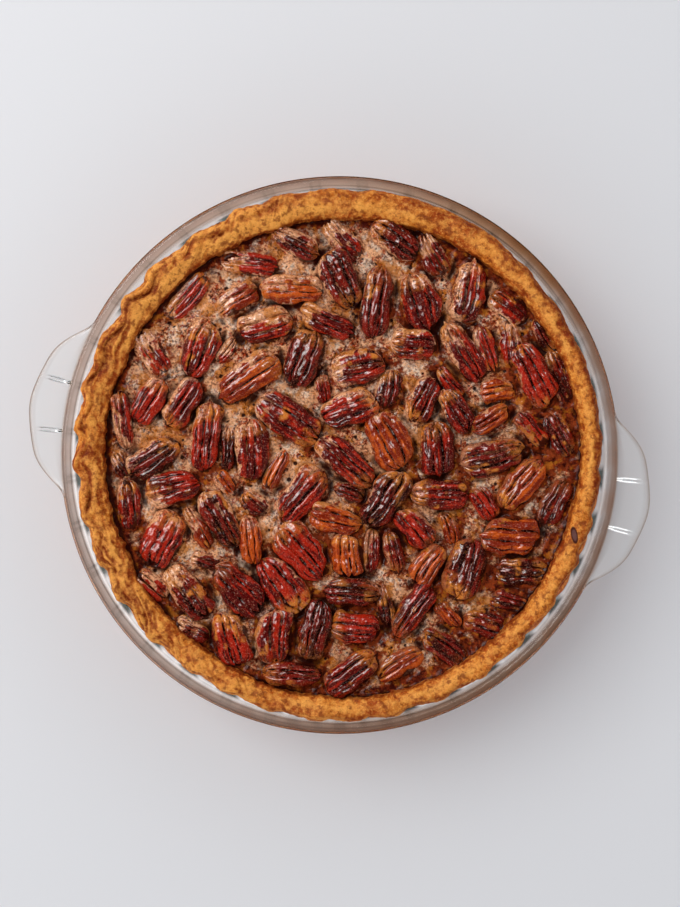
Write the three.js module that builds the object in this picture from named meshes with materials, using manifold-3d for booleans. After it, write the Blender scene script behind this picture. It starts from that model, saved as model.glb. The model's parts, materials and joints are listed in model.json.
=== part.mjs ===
// Pecan pie in its own clear glass pie plate. Millimetres, +Z up, X along the plate's two handles.
// The origin is the middle of the plate's foot, on the surface that it stands on.
import * as THREE from "three";
import Module from "manifold-3d";
import { mergeVertices } from "three/addons/utils/BufferGeometryUtils.js";

const wasm = await Module();
wasm.setup();

const TAU = 2 * Math.PI;
const degrees = THREE.MathUtils.degToRad;

// ---- Driving dimensions -------------------------------------------------------------------------

// The plate.
const MOUTH_RADIUS = 120.5; // half of the 241 mm (9.5 in) mouth, inside the rim
const PLATE_RADIUS = 125.5; // outside of the rim
const PLATE_HEIGHT = 43;
const FOOT_RADIUS = 91;
const FLOOR_THICKNESS = 5;
const WALL_THICKNESS = 4.4;
const RIM_THICKNESS = 5;
const RIM_UNDER = PLATE_HEIGHT - RIM_THICKNESS; // height of the rim's underside
const RIM_ROUNDING = 1.5;
const WALL_TOP = RIM_UNDER - 1; // where the wall opens out into the rim
const WALL_MIDDLE = 20;
const WALL_LOW = 14;
const FLOOR_CORNER = 3; // how far the floor's rounded corner reaches in

const FLUTES = 36;
const FLUTE_DEPTH = 2.2; // how far each flute's sharp edge stands inwards
const STEPS_PER_FLUTE = 3;
const STEPS = FLUTES * STEPS_PER_FLUTE;

// Half of a handle's outline, from its root on the rim to the middle of its outer edge: how far it is
// past the rim, and how far from the handle's middle line.
const HANDLE_OUTLINE = [
  [-5.3, 37.6],
  [-0.9, 34.8],
  [3.9, 31],
  [8.4, 26.5],
  [11.3, 21],
  [15.1, 8.5],
  [16.5, 0],
];
const HANDLE_ROOT_ANGLE = degrees(17);
const HANDLE_THICKNESS = 4;
const HANDLE_EDGE = 0.8; // its rounded edge
const HANDLE_DROP = 0.2; // its top lies this far under the rim's
const HANDLE_RIB = { length: 14.5, width: 1.6, drop: 0.9 };

// The pie.
const GAP = 0.35; // kept between pieces that touch
const PIE_TURN = degrees(10); // the pie lies turned in the plate, away from its handles

const CRUST_TOP = 48;
const CRUST_UNEVENNESS = 0.9; // of its top
const CRUST_FLOOR = 4; // thickness of the pastry under the filling
const CRUST_WALL = 5.6; // thickness of the pastry behind the filling, low down
const CRUST_OUTER = 118.7; // mean radius of the pinched edge
const CRUST_SCALLOP = 2.2; // how far each flute's bump stands out
// Radius where the pastry's edge drops to the filling, at every 30 degrees anticlockwise from the right.
const CRUST_INNER = [109.5, 110.6, 110.2, 108.4, 107.6, 106.2, 105.7, 105.8, 107.4, 110, 109.8, 108.8];

const FILLING_TOP = 39.6;
const STANDING_HEIGHT = 5.6; // of a whole pecan half that stands clear of the filling
const SUNKEN_HEIGHT = 2.6; // of the back of one that sank

// ---- Shared helpers -----------------------------------------------------------------------------

// A repeatable source of random numbers from 0 to 1.
function seeded(seed) {
  let state = seed;
  return () => {
    state = (state * 1664525 + 1013904223) % 4294967296;
    return state / 4294967296;
  };
}

// Turns a profile about the upright axis. place(angle, k) gives the radius and height of its point k.
function turned(steps, points, place) {
  const blank = Array.from({ length: points }, (_, k) => new THREE.Vector2(...place(0, k)));
  const geometry = new THREE.LatheGeometry(blank, steps);
  const position = geometry.attributes.position;
  for (let i = 0; i <= steps; i++) {
    const angle = (TAU * (i % steps)) / steps;
    for (let k = 0; k < points; k++) {
      const [radius, height] = place(angle, k);
      position.setXYZ(i * points + k, radius * Math.cos(angle), radius * Math.sin(angle), height);
    }
  }
  return geometry;
}

// A closed three.js geometry as a solid that can be cut and joined.
function solid(geometry) {
  const bare = geometry.clone();
  bare.deleteAttribute("normal");
  bare.deleteAttribute("uv");
  const merged = mergeVertices(bare, 1e-4);
  return new wasm.Manifold(
    new wasm.Mesh({
      numProp: 3,
      vertProperties: new Float32Array(merged.attributes.position.array),
      triVerts: new Uint32Array(merged.index.array),
    }),
  );
}

// And back: a solid as a geometry.
function geometryOf(shape) {
  const mesh = shape.getMesh();
  const geometry = new THREE.BufferGeometry();
  geometry.setAttribute("position", new THREE.BufferAttribute(new Float32Array(mesh.vertProperties), 3));
  geometry.setIndex(new THREE.BufferAttribute(new Uint32Array(mesh.triVerts), 1));
  geometry.computeVertexNormals();
  return geometry;
}

function named(name, geometry, material) {
  const mesh = new THREE.Mesh(geometry, material);
  mesh.name = name;
  return mesh;
}

// ---- Materials ----------------------------------------------------------------------------------

const glass = new THREE.MeshStandardMaterial({ color: 0xdfe8e4, roughness: 0.04, transparent: true, opacity: 0.35 });
const pastry = new THREE.MeshStandardMaterial({ color: 0xc9822f, roughness: 0.75 });
const custard = new THREE.MeshStandardMaterial({ color: 0x8a5a34, roughness: 0.5 });
const nut = {
  orange: new THREE.MeshStandardMaterial({ color: 0x9a4416, roughness: 0.35 }),
  red: new THREE.MeshStandardMaterial({ color: 0x6e1f14, roughness: 0.3 }),
  dark: new THREE.MeshStandardMaterial({ color: 0x40181a, roughness: 0.3 }),
};

// ---- The glass plate ----------------------------------------------------------------------------

// 0 along the round back of a flute and 1 at the sharp edge between two flutes. A back is centred on
// each handle, and the sampled steps fall on the edge and on both shoulders of each back.
function fluteEdge(angle) {
  const along = (angle / TAU) * FLUTES + 0.5;
  const fromEdge = Math.abs(along - Math.round(along));
  return Math.max(0, 1 - 3 * fromEdge);
}

// Inside radius of the plate's wall. The flutes fade out towards the foot and under the rim.
function wallRadius(height, angle) {
  const up = (height - FLOOR_THICKNESS) / (RIM_UNDER - FLOOR_THICKNESS);
  const share = THREE.MathUtils.clamp(up, 0, 1);
  const flare = FOOT_RADIUS - 2 + (MOUTH_RADIUS - FOOT_RADIUS + 1) * share ** 0.9;
  const depth = FLUTE_DEPTH * THREE.MathUtils.smoothstep(share, 0.1, 0.6);
  return flare - depth * fluteEdge(angle);
}

function plateBody() {
  const profile = (angle) => [
    [0, 0],
    [FOOT_RADIUS, 0],
    [wallRadius(WALL_MIDDLE, angle) + WALL_THICKNESS, WALL_MIDDLE],
    [wallRadius(WALL_TOP, angle) + WALL_THICKNESS, RIM_UNDER],
    [PLATE_RADIUS, RIM_UNDER + RIM_ROUNDING],
    [PLATE_RADIUS, PLATE_HEIGHT - RIM_ROUNDING],
    [PLATE_RADIUS - RIM_ROUNDING, PLATE_HEIGHT],
    [MOUTH_RADIUS + RIM_ROUNDING, PLATE_HEIGHT],
    [MOUTH_RADIUS, PLATE_HEIGHT - RIM_ROUNDING],
    [wallRadius(WALL_TOP, angle), WALL_TOP],
    [wallRadius(WALL_LOW, angle), WALL_LOW],
    [wallRadius(FLOOR_THICKNESS, angle) - FLOOR_CORNER, FLOOR_THICKNESS],
    [0, FLOOR_THICKNESS],
  ];
  return turned(STEPS, profile(0).length, (angle, k) => profile(angle)[k]);
}

// A handle is a flat tab with a bowed outer edge and rounded corners, which widens towards the rim.
function handle() {
  const half = HANDLE_OUTLINE.map(([past, aside]) => new THREE.Vector2(PLATE_RADIUS + past, aside));
  const otherHalf = half.slice(0, -1).map(({ x, y }) => new THREE.Vector2(x, -y));
  const [start, ...edge] = [...half, ...otherHalf.reverse()];
  const tab = new THREE.Shape();
  tab.moveTo(start.x, start.y);
  tab.splineThru(edge);
  tab.absarc(0, 0, (MOUTH_RADIUS + PLATE_RADIUS) / 2, -HANDLE_ROOT_ANGLE, HANDLE_ROOT_ANGLE, false);
  const slab = new THREE.ExtrudeGeometry(tab, {
    depth: HANDLE_THICKNESS - 2 * HANDLE_EDGE,
    bevelThickness: HANDLE_EDGE,
    bevelSize: HANDLE_EDGE,
    bevelOffset: -HANDLE_EDGE,
    bevelSegments: 1,
    curveSegments: 2,
  });
  slab.translate(0, 0, PLATE_HEIGHT - HANDLE_DROP - HANDLE_THICKNESS + HANDLE_EDGE);
  return slab;
}

// Each handle has a grip rib under it at the two flute edges nearest to its middle.
function handleRib(side) {
  const { length, width, drop } = HANDLE_RIB;
  const rib = new THREE.BoxGeometry(length, width, 2 * drop);
  rib.translate(PLATE_RADIUS - RIM_ROUNDING + length / 2, 0, PLATE_HEIGHT - HANDLE_DROP - HANDLE_THICKNESS);
  rib.rotateZ((side * TAU) / FLUTES / 2);
  return rib;
}

function plate() {
  let whole = solid(plateBody());
  for (const end of [0, Math.PI]) {
    for (const piece of [handle(), handleRib(-1), handleRib(1)]) {
      piece.rotateZ(end);
      whole = whole.add(solid(piece));
    }
  }
  return geometryOf(whole);
}

// ---- The pastry case ----------------------------------------------------------------------------

// The baked edge wanders in and out: slow sways from shaping by hand, and a bump in every flute.
function sway(angle) {
  return 0.5 * Math.sin(2 * angle + 0.6) + 0.45 * Math.sin(5 * angle + 2.1) + 0.3 * Math.sin(9 * angle + 4);
}

// Radius of the inner edge: an even curve through its listed radii, and a little of the same sway.
function innerEdge(angle) {
  const count = CRUST_INNER.length;
  const turns = angle / TAU - Math.floor(angle / TAU);
  const step = Math.floor(turns * count);
  const [before, from, to, after] = [-1, 0, 1, 2].map((k) => CRUST_INNER[(step + k + count) % count]);
  const t = turns * count - step;
  const bend = (2 * before - 5 * from + 4 * to - after) * t + (3 * (from - to) + after - before) * t * t;
  return from + 0.5 * t * (to - before + bend) + 0.4 * sway(angle + 1);
}

// The plate's wall, less a gap, in the pie's own frame, which is turned from the plate's.
const wallBehind = (height, angle) => wallRadius(height, angle + PIE_TURN) - 2 * GAP;

// The pastry's inside wall, from the floor's edge up to where it meets the filling's surface.
const pastryWall = (angle) => [
  [innerEdge(angle) - 1.8, FILLING_TOP - 2],
  [wallBehind(10, angle) - CRUST_WALL, 12],
  [wallBehind(FLOOR_THICKNESS, angle) - FLOOR_CORNER - CRUST_WALL, FLOOR_THICKNESS + GAP + CRUST_FLOOR],
];

function pastryCase() {
  const floor = FLOOR_THICKNESS + GAP;
  const profile = (angle) => {
    const bump = CRUST_SCALLOP * (0.5 - fluteEdge(angle + PIE_TURN));
    const inner = innerEdge(angle);
    const outer = Math.min(CRUST_OUTER + bump + 0.3 * sway(angle), MOUTH_RADIUS - GAP);
    const top = CRUST_TOP + CRUST_UNEVENNESS * (Math.sin(3 * angle + 1) * Math.cos(4 * angle) - 1);
    return [
      [0, floor],
      [wallBehind(FLOOR_THICKNESS, angle) - FLOOR_CORNER, floor],
      [wallBehind(WALL_LOW, angle), WALL_LOW],
      [wallBehind(WALL_TOP, angle), WALL_TOP],
      [outer, PLATE_HEIGHT - 0.5],
      [outer - 1.2, top - 1.5],
      [(inner + outer) / 2 + 0.5, top],
      [inner + 1.6, top - 1],
      [inner, top - 3.5],
      ...pastryWall(angle),
      [0, floor + CRUST_FLOOR],
    ];
  };
  return turned(STEPS, profile(0).length, (angle, k) => profile(angle)[k]);
}

// ---- The pecans ---------------------------------------------------------------------------------

// Half a kernel in section, from the flat underside round to the flat underside: across it in half
// widths, and up it in heights. Two furrows leave a middle ridge between the side lobes.
const SECTION = [
  [0.6, 0],
  [1, 0.34],
  [0.68, 0.88],
  [0.33, 0.68],
  [0, 1],
  [-0.33, 0.68],
  [-0.68, 0.88],
  [-1, 0.34],
  [-0.6, 0],
];
const STATIONS = 6; // along the kernel, from tip to tip

// The same under a skin of filling, with its furrows filled up.
const COATED_SECTION = [
  [0.8, 0],
  [1, 0.4],
  [0.5, 0.9],
  [0, 1],
  [-0.5, 0.9],
  [-1, 0.4],
  [-0.8, 0],
];
const COATED_STATIONS = 5;

// A half kernel lying along X with its flat side down on Z = 0.
function kernel({ length, width, height, section = SECTION, stations = STATIONS, bend = 0, taper = 0 }) {
  const geometry = new THREE.SphereGeometry(1, section.length, stations);
  const { position, uv } = geometry.attributes;
  for (let v = 0; v < position.count; v++) {
    const column = Math.max(0, Math.round(uv.getX(v) * section.length)) % section.length;
    const along = Math.cos(Math.PI * (1 - uv.getY(v)));
    const fullness = Math.max(0, 1 - Math.abs(along) ** 2.5) ** 0.55;
    const narrowing = 1 - taper * along;
    const [across, up] = section[column];
    const swell = 0.35 + 0.65 * fullness;
    position.setXYZ(
      v,
      (length / 2) * along,
      (width / 2) * across * fullness * narrowing + bend * (along * along - 0.4),
      Math.abs(along) > 0.999 ? 0.3 * height : height * (up * swell * fullness + 0.12 * (1 - fullness)),
    );
  }
  return geometry;
}

// Whole pecan halves that stand clear of the filling, in the pie's frame: x, y, heading in degrees,
// length, width, and how deeply the oven browned each.
const STANDING = [
  [-19.5, 95.8, -27, 24, 10, "dark"],
  [-22, 74.5, -2, 28, 12, "orange"],
  [-33.5, 58.5, 16, 24.5, 14, "red"],
  [-5.5, 60, -25, 27, 10.5, "red"],
  [-63, 48.5, 70, 27, 14.5, "red"],
  [-41.5, 35, 35, 32, 15, "orange"],
  [-85.8, 24.8, 57, 22.6, 12.2, "red"],
  [-70.5, 23.5, 55, 24, 12.5, "red"],
  [-97.9, 16, 98, 26.5, 8.6, "red"],
  [-16, 44, 66, 27, 15, "dark"],
  [-22.5, 16.5, -34, 33, 15.5, "red"],
  [-60, 8.5, 84, 31, 12.5, "red"],
  [-40, 2.5, 92, 27, 14.5, "red"],
  [-84, -1.5, 34, 25.5, 13.5, "dark"],
  [0.5, 79, -62, 27, 14.5, "dark"],
  [25, 97, -36, 24.5, 12.5, "dark"],
  [58, 74.5, 79, 29, 14.5, "red"],
  [16.5, 69, 82, 32, 13, "dark"],
  [36.5, 69, -71, 27, 15.5, "red"],
  [33, 50, -4, 20.5, 13.5, "red"],
  [55.5, 47, -58, 31, 12, "red"],
  [87.5, 36.5, -62, 30, 13.5, "red"],
  [8, 39.5, 13, 24.5, 15.5, "red"],
  [4.5, 21, 20, 25, 14.5, "red"],
  [38, 25, 62, 21.5, 12, "red"],
  [52.7, 20.2, -58, 22, 11, "red"],
  [68, 16, 32, 19.2, 9, "orange"],
  [69, -0.5, 14, 30, 14, "dark"],
  [44, 2.5, 96, 24.5, 15, "red"],
  [22, 7, -61, 27.5, 16.5, "orange"],
  [3, -2.9, -42, 31, 13, "red"],
  [21, -19.5, 57, 28.5, 15, "dark"],
  [45, -17.5, 0, 26, 12.5, "red"],
  [34.2, -32.7, -48, 21.5, 13.2, "red"],
  [82.5, -13, 52, 27, 12.5, "orange"],
  [76.5, -36.5, -2, 27, 16, "orange"],
  [57, -51.5, 73, 27.5, 16.5, "dark"],
  [39.9, -49.2, 54, 20, 12.4, "orange"],
  [33.3, -69.9, 54, 28, 11.5, "red"],
  [3, -45.4, 94, 20.2, 13.8, "orange"],
  [5.5, -62, -4, 26, 12, "dark"],
  [6.9, -78, -6, 22, 13.6, "red"],
  [5.5, -98.5, 36, 27, 13, "red"],
  [-17, -17.5, 48, 28, 15.5, "red"],
  [-2, -29, -14, 24.6, 11.2, "orange"],
  [-17.5, -43, -48, 30, 15.5, "red"],
  [-39.9, -38.4, 98, 22, 9.6, "orange"],
  [-53.8, -28.9, -60, 28.5, 12, "dark"],
  [-75.5, -15, 13, 24.5, 14.5, "red"],
  [-79.5, -38, 62, 26, 15.5, "red"],
  [-68, -61.5, -52, 28, 14, "dark"],
  [-46, -60.5, -45, 28.5, 15.5, "red"],
  [-26, -58.5, -54, 29, 15.5, "red"],
  [-49.1, -82.9, 107, 24.2, 15, "red"],
  [-29.5, -81.5, 89, 25, 15, "red"],
  [-11, -79, 77, 27, 13, "dark"],
  [-21.5, -98.5, -2, 26, 10.5, "dark"],
];

// Halves and pieces that sank and were baked over, so that only their backs stand out of the filling:
// x, y, heading, length, width.
const SUNKEN = [
  [-40.5, 86.5, -9, 27, 11.5],
  [-68.5, 71.5, 49, 26, 11],
  [-46.5, 70, 32, 22, 11.5],
  [-51, 47.5, 50, 14, 7],
  [-85, 46.5, -57, 24, 12],
  [-50.5, 3, 87, 21, 6.5],
  [-28.5, -6.5, 64, 20, 8],
  [1.5, 97.5, -48, 23, 11.5],
  [42, 91, -62, 23, 11.5],
  [66.5, 47.5, -70, 23, 9.5],
  [77, 50.5, -84, 20, 10],
  [76, 67, -38, 20, 11.5],
  [99, 36, -68, 25, 10],
  [22, 30, 80, 18, 12],
  [50, 33, -50, 17, 7],
  [71, 29, 8, 16, 11],
  [65.5, -22, -55, 17, 10],
  [97, -22, 64, 25, 12],
  [86.5, 11.5, -52, 20, 10],
  [99.5, 9.5, -62, 22, 10.5],
  [49.5, -33, -72, 16, 8],
  [82.5, -52.5, -3, 24, 12],
  [14.5, -43.5, 88, 21, 8],
  [24.5, -44, -77, 20, 8.5],
  [20.5, -67.5, -82, 19, 8],
  [27.5, -94.5, 31, 24, 11],
  [47, -87, -35, 24, 11.5],
  [65, -76.5, -20, 20, 11.5],
  [49, -72, -50, 15, 7.5],
  [-38.5, -22, -40, 14, 10],
  [4.5, -17, -20, 14, 8],
  [-64, -32.5, -61, 22, 8],
  [-95, -22, 98, 24, 11],
  [-60.5, -48, -14, 15, 7],
  [-85, -58.5, -40, 18, 10],
  [-66.5, -79, -28, 17, 9],
  [-51.5, -13, -50, 13, 8],
  [-98.5, -4, -60, 13, 9],
  [-7.5, 30, -80, 13, 7],
  [93, 54, -55, 18, 9],
  [77, -66, -15, 18, 9],
];

// Lays one half on the filling, rolled a little to one side, with its lowest point just clear of it.
function standingPecan([x, y, heading, length, width, browning], index) {
  const random = seeded(7 + 13 * index);
  const height = STANDING_HEIGHT * (0.9 + 0.2 * random()) * Math.min(1, width / 11);
  const bend = 1.1 * (random() - 0.5);
  const taper = 0.16 * (random() - 0.5);
  const geometry = kernel({ length, width, height, bend, taper });
  geometry.rotateX(degrees(12 * (random() - 0.5)));
  geometry.rotateZ(degrees(heading));
  geometry.computeBoundingBox();
  const mesh = named(`pecan_${String(index + 1).padStart(2, "0")}`, geometry, nut[browning]);
  mesh.position.set(x, y, FILLING_TOP + GAP - geometry.boundingBox.min.z);
  return mesh;
}

// The upright space round one standing half, a little wider than it, which sunken ones leave free.
function clearanceRound([x, y, heading, length, width]) {
  const margin = 3.5 * GAP;
  const outline = new THREE.Shape();
  outline.absellipse(0, 0, length / 2 + margin, width / 2 + margin, 0, TAU);
  const depth = 4 * STANDING_HEIGHT;
  const block = new THREE.ExtrudeGeometry(outline, { depth, bevelEnabled: false, curveSegments: 6 });
  block.rotateZ(degrees(heading));
  block.translate(x, y, FILLING_TOP - depth / 2);
  return solid(block);
}

// ---- The filling --------------------------------------------------------------------------------

function fillingBody() {
  const profile = (angle) => {
    const [top, low, corner] = pastryWall(angle);
    return [
      [0, corner[1] + GAP],
      [corner[0] - 2 * GAP, corner[1] + GAP],
      [low[0] - 2 * GAP, low[1] + GAP],
      [top[0] - 2 * GAP, top[1]],
      [top[0] - GAP, FILLING_TOP],
      [0, FILLING_TOP],
    ];
  };
  return turned(FLUTES, profile(0).length, (angle, k) => profile(angle)[k]);
}

// The upright column over the filling, inside the pastry's edge.
function fillingColumn() {
  const bottom = FILLING_TOP - 1;
  const top = FILLING_TOP + 2 * SUNKEN_HEIGHT;
  const profile = (angle) => {
    const radius = pastryWall(angle)[0][0] - 1.5 * GAP;
    return [
      [0, bottom],
      [radius, bottom],
      [radius, top],
      [0, top],
    ];
  };
  return turned(FLUTES, profile(0).length, (angle, k) => profile(angle)[k]);
}

function filling() {
  const clearances = STANDING.map(clearanceRound);
  const root = 2; // how deep each sunken back is rooted
  const backs = SUNKEN.map(([x, y, heading, length, width]) => {
    const height = SUNKEN_HEIGHT + root;
    const back = kernel({ length, width, height, section: COATED_SECTION, stations: COATED_STATIONS });
    back.rotateZ(degrees(heading));
    back.translate(x, y, FILLING_TOP - root);
    return solid(back);
  });
  const relief = wasm.Manifold.union(backs)
    .subtract(wasm.Manifold.union(clearances))
    .intersect(solid(fillingColumn()));
  return geometryOf(solid(fillingBody()).add(relief));
}

// ---- Assembly -----------------------------------------------------------------------------------

const pie = new THREE.Group();
pie.rotation.z = PIE_TURN;
pie.add(named("crust", pastryCase(), pastry));
pie.add(named("filling", filling(), custard));
STANDING.forEach((half, index) => pie.add(standingPecan(half, index)));

const pecanPie = new THREE.Group();
pecanPie.add(named("glass_plate", plate(), glass));
pecanPie.add(pie);

export default pecanPie;
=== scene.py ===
"""A pecan pie in its own clear glass pie plate, laid out as a Blender add-on.

The packed frame gives the sizes of the plate and the pastry and the place of every standing half. Meshes
are worked out in millimetres in numpy and written in metres. The pie lies turned in its plate, so its own
pieces are worked out in the pie's frame.
"""

import itertools
import json
import math
import random

import bpy
import numpy as np
from bpy.props import FloatProperty, FloatVectorProperty, IntProperty, PointerProperty
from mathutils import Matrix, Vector


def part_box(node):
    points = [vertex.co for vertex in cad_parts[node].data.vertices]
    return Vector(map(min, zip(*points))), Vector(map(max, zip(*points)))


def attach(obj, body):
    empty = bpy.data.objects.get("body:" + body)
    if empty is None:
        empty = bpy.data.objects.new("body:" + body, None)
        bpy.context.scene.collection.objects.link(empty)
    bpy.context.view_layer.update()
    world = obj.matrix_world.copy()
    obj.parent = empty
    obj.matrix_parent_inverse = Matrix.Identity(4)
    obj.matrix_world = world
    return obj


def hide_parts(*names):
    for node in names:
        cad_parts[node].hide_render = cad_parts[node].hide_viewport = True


bl_info = {
    "name": "Pecan Pie in a Glass Plate",
    "version": (1, 0, 0),
    "blender": (4, 5, 0),
    "location": "3D View > Sidebar > Pecan Pie",
    "description": "Builds a baked pecan pie and its glass plate, piece by piece",
    "category": "Object",
}

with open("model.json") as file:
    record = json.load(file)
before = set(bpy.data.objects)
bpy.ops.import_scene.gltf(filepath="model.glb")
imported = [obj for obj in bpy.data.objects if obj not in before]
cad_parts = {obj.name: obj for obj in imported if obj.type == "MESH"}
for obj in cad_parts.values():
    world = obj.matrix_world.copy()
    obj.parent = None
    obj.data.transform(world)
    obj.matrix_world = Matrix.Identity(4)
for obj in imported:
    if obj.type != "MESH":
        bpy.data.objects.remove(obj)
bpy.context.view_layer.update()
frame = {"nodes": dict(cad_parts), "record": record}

MM = 0.001
TAU = 2 * math.pi
PIE_TURN = math.radians(10)  # the pie lies turned in the plate, away from its handles
FLUTES = 36


def node_box(name):
    """A CAD node's lowest and highest corner, in millimetres."""
    low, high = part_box(name)
    return np.array(low) / MM, np.array(high) / MM


# The plate, read from its CAD node and from what the CAD builds it with.
PLATE_RADIUS = node_box("glass_plate")[1][1]
PLATE_HEIGHT = node_box("glass_plate")[1][2]
MOUTH_RADIUS = PLATE_RADIUS - 5
FOOT_RADIUS = 91
FLOOR_THICKNESS = 5
WALL_THICKNESS = 4.4
RIM_THICKNESS = 5
RIM_UNDER = PLATE_HEIGHT - RIM_THICKNESS
WALL_TOP = RIM_UNDER - 1
RIM_CROWN = 0.9  # how far the rim's round top falls away to its edges
# The underside inside the wall, from the middle out: radius and height.
FOOT_PROFILE = [(20, 0.8), (60, 0.8), (84, 0.8), (86, 0.3), (88, 0), (FOOT_RADIUS, 0)]
# Dark lines painted along the rim as refraction of the pie: how far out from the mouth, their width,
# and their depth at every 45 degrees from the right.
RIM_REFRACTION_LINES = [
    (-0.2, 0.4, (0.1, 1.0, 0.8, 0.4, 0.0, 0.0, 0.0, 0.0)),
    (0.75, 0.32, (0.0, 1.0, 0.55, 0.6, 0.9, 0.7, 0.6, 0.55)),
    (2.7, 0.32, (0.05, 0.0, 0.0, 0.05, 0.35, 0.15, 0.45, 0.2)),
    (4.0, 0.45, (0.1, 0.1, 0.55, 0.5, 0.5, 0.6, 0.35, 0.45)),
]
# How strong the rim's painted refraction of the pie is, and how bright the glint painted at its mouth, at
# every 45 degrees from the right.
RIM_PAINTED_REFRACTION = [0.64, 0.98, 0.7, 0.62, 0.46, 0.52, 0.74, 0.86]
MOUTH_PAINTED_GLINT = [0.4, 0.0, 0.0, 0.15, 0.75, 0.8, 0.0, 0.3]
FLUTE_DEPTH = 2.2
# Half of a handle's outline: how far past the rim, and how far from the handle's middle line.
HANDLE_OUTLINE = [(-5.3, 37.6), (-0.9, 34.8), (3.9, 31), (8.4, 26.5), (11.3, 21), (15.1, 8.5), (16.5, 0)]
HANDLE_THICKNESS = 4
HANDLE_SPAN = math.radians(18)  # half of the angle that a handle takes up
HANDLE_RIB = {"width": 1.5, "drop": 1.5, "angle": math.radians(5)}

# The pie.
CRUST_TOP = node_box("crust")[1][2]
CRUST_BOTTOM = FLOOR_THICKNESS + 0.3
CRUST_FLOOR = FLOOR_THICKNESS + 4.3  # top of the pastry under the filling
CRUST_OUTER = 118.7
# How much farther out than that the pastry reaches, at every 30 degrees anticlockwise from the right.
CRUST_REACH = [-1, -0.4, 1.4, 1.5, 0.5, 0.1, 0.6, -0.4, -0.6, 1.3, 0.2, -1.4]
# How dark its outer side is painted, likewise, as browning and painted shade on the side away from the
# light, and less than 0 where it is painted pale as light.
CRUST_SIDE_SHADE = [0.95, 1.0, 0.45, 0.05, -0.7, -0.35, -0.1, -0.95, -0.6, -0.35, -0.15, 0.55]
# Heading at which its inner side took less colour, and how far that reaches, in radians.
PALE_INSIDE = (math.radians(122), 0.5)
# How deep its scallops are, at every 30 degrees anticlockwise from the plate's right.
CRUST_SCALLOPS = [1.4, 1.0, 0.8, 0.9, 2.0, 2.9, 2.8, 2.6, 2.2, 1.8, 2.0, 1.8]
FLAKE_GRAIN = (12, 2.1, 3)  # length, width and depth of the lumps that its flakes follow
# Flakes that lie out on the rim, in the pie's frame: heading, half of their width as an angle, and reach.
CRUST_FLAPS = [(math.radians(157.5), math.radians(2.6), 3.2), (math.radians(182), math.radians(3), 1.2)]
# Burnt spots on the pastry, in the pie's frame: x, y, half of their width and length, and heading.
SCORCHES = [(-54.8, 104.4, 0.9, 0.9, 0), (105.4, -36, 1.6, 4.3, math.radians(100))]
# Radius where the pastry's edge drops to the filling, at every 30 degrees anticlockwise from the right.
CRUST_INNER = [109.5, 109.8, 108.9, 107.2, 106.6, 106, 106.7, 106.9, 108.3, 110.8, 109.6, 107.9]
FILLING_TOP = 39.6
PINHOLES_REACH = 104  # radius inside which bubbles burst
# What the filling's masks of distance say far from any half or pinhole.
FAR, GAP_FAR, PIT_FAR = 99.0, 6.0, 3.0
STANDING_BASE = FILLING_TOP - 0.35  # lowest point of the standing halves
SUNKEN_RISE = 2.5  # how far the sunken halves' backs stand over the filling
SUNKEN_FINENESS = 0.78  # points along and across a sunken half, as a share of a standing one's
# Where the seeds of the random draws start.
PINHOLES_SEED, STANDING_SEED, SUNKEN_SEED = 59, 101, 301
KERNEL_EDGE = 0.12  # height of a half's outline, as a share of its rise

# The stage: half of the floor's side, how wide the camera's sensor is, and in the pie's frame the point
# under the camera, the point that the lights face, and where the lights are.
FLOOR_REACH = 12000
CAMERA_SENSOR = 36
VIEW_MIDDLE = (0.23, 0.68, 0)
LIGHTS_AIM = (0, 0, 40)
WINDOW_PLACE = (-780, 430, 1050)
BLINDS_PLACE = (-620, 600, 1050)
LAMP_PLACE = (-600, 640, 1050)

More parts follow.
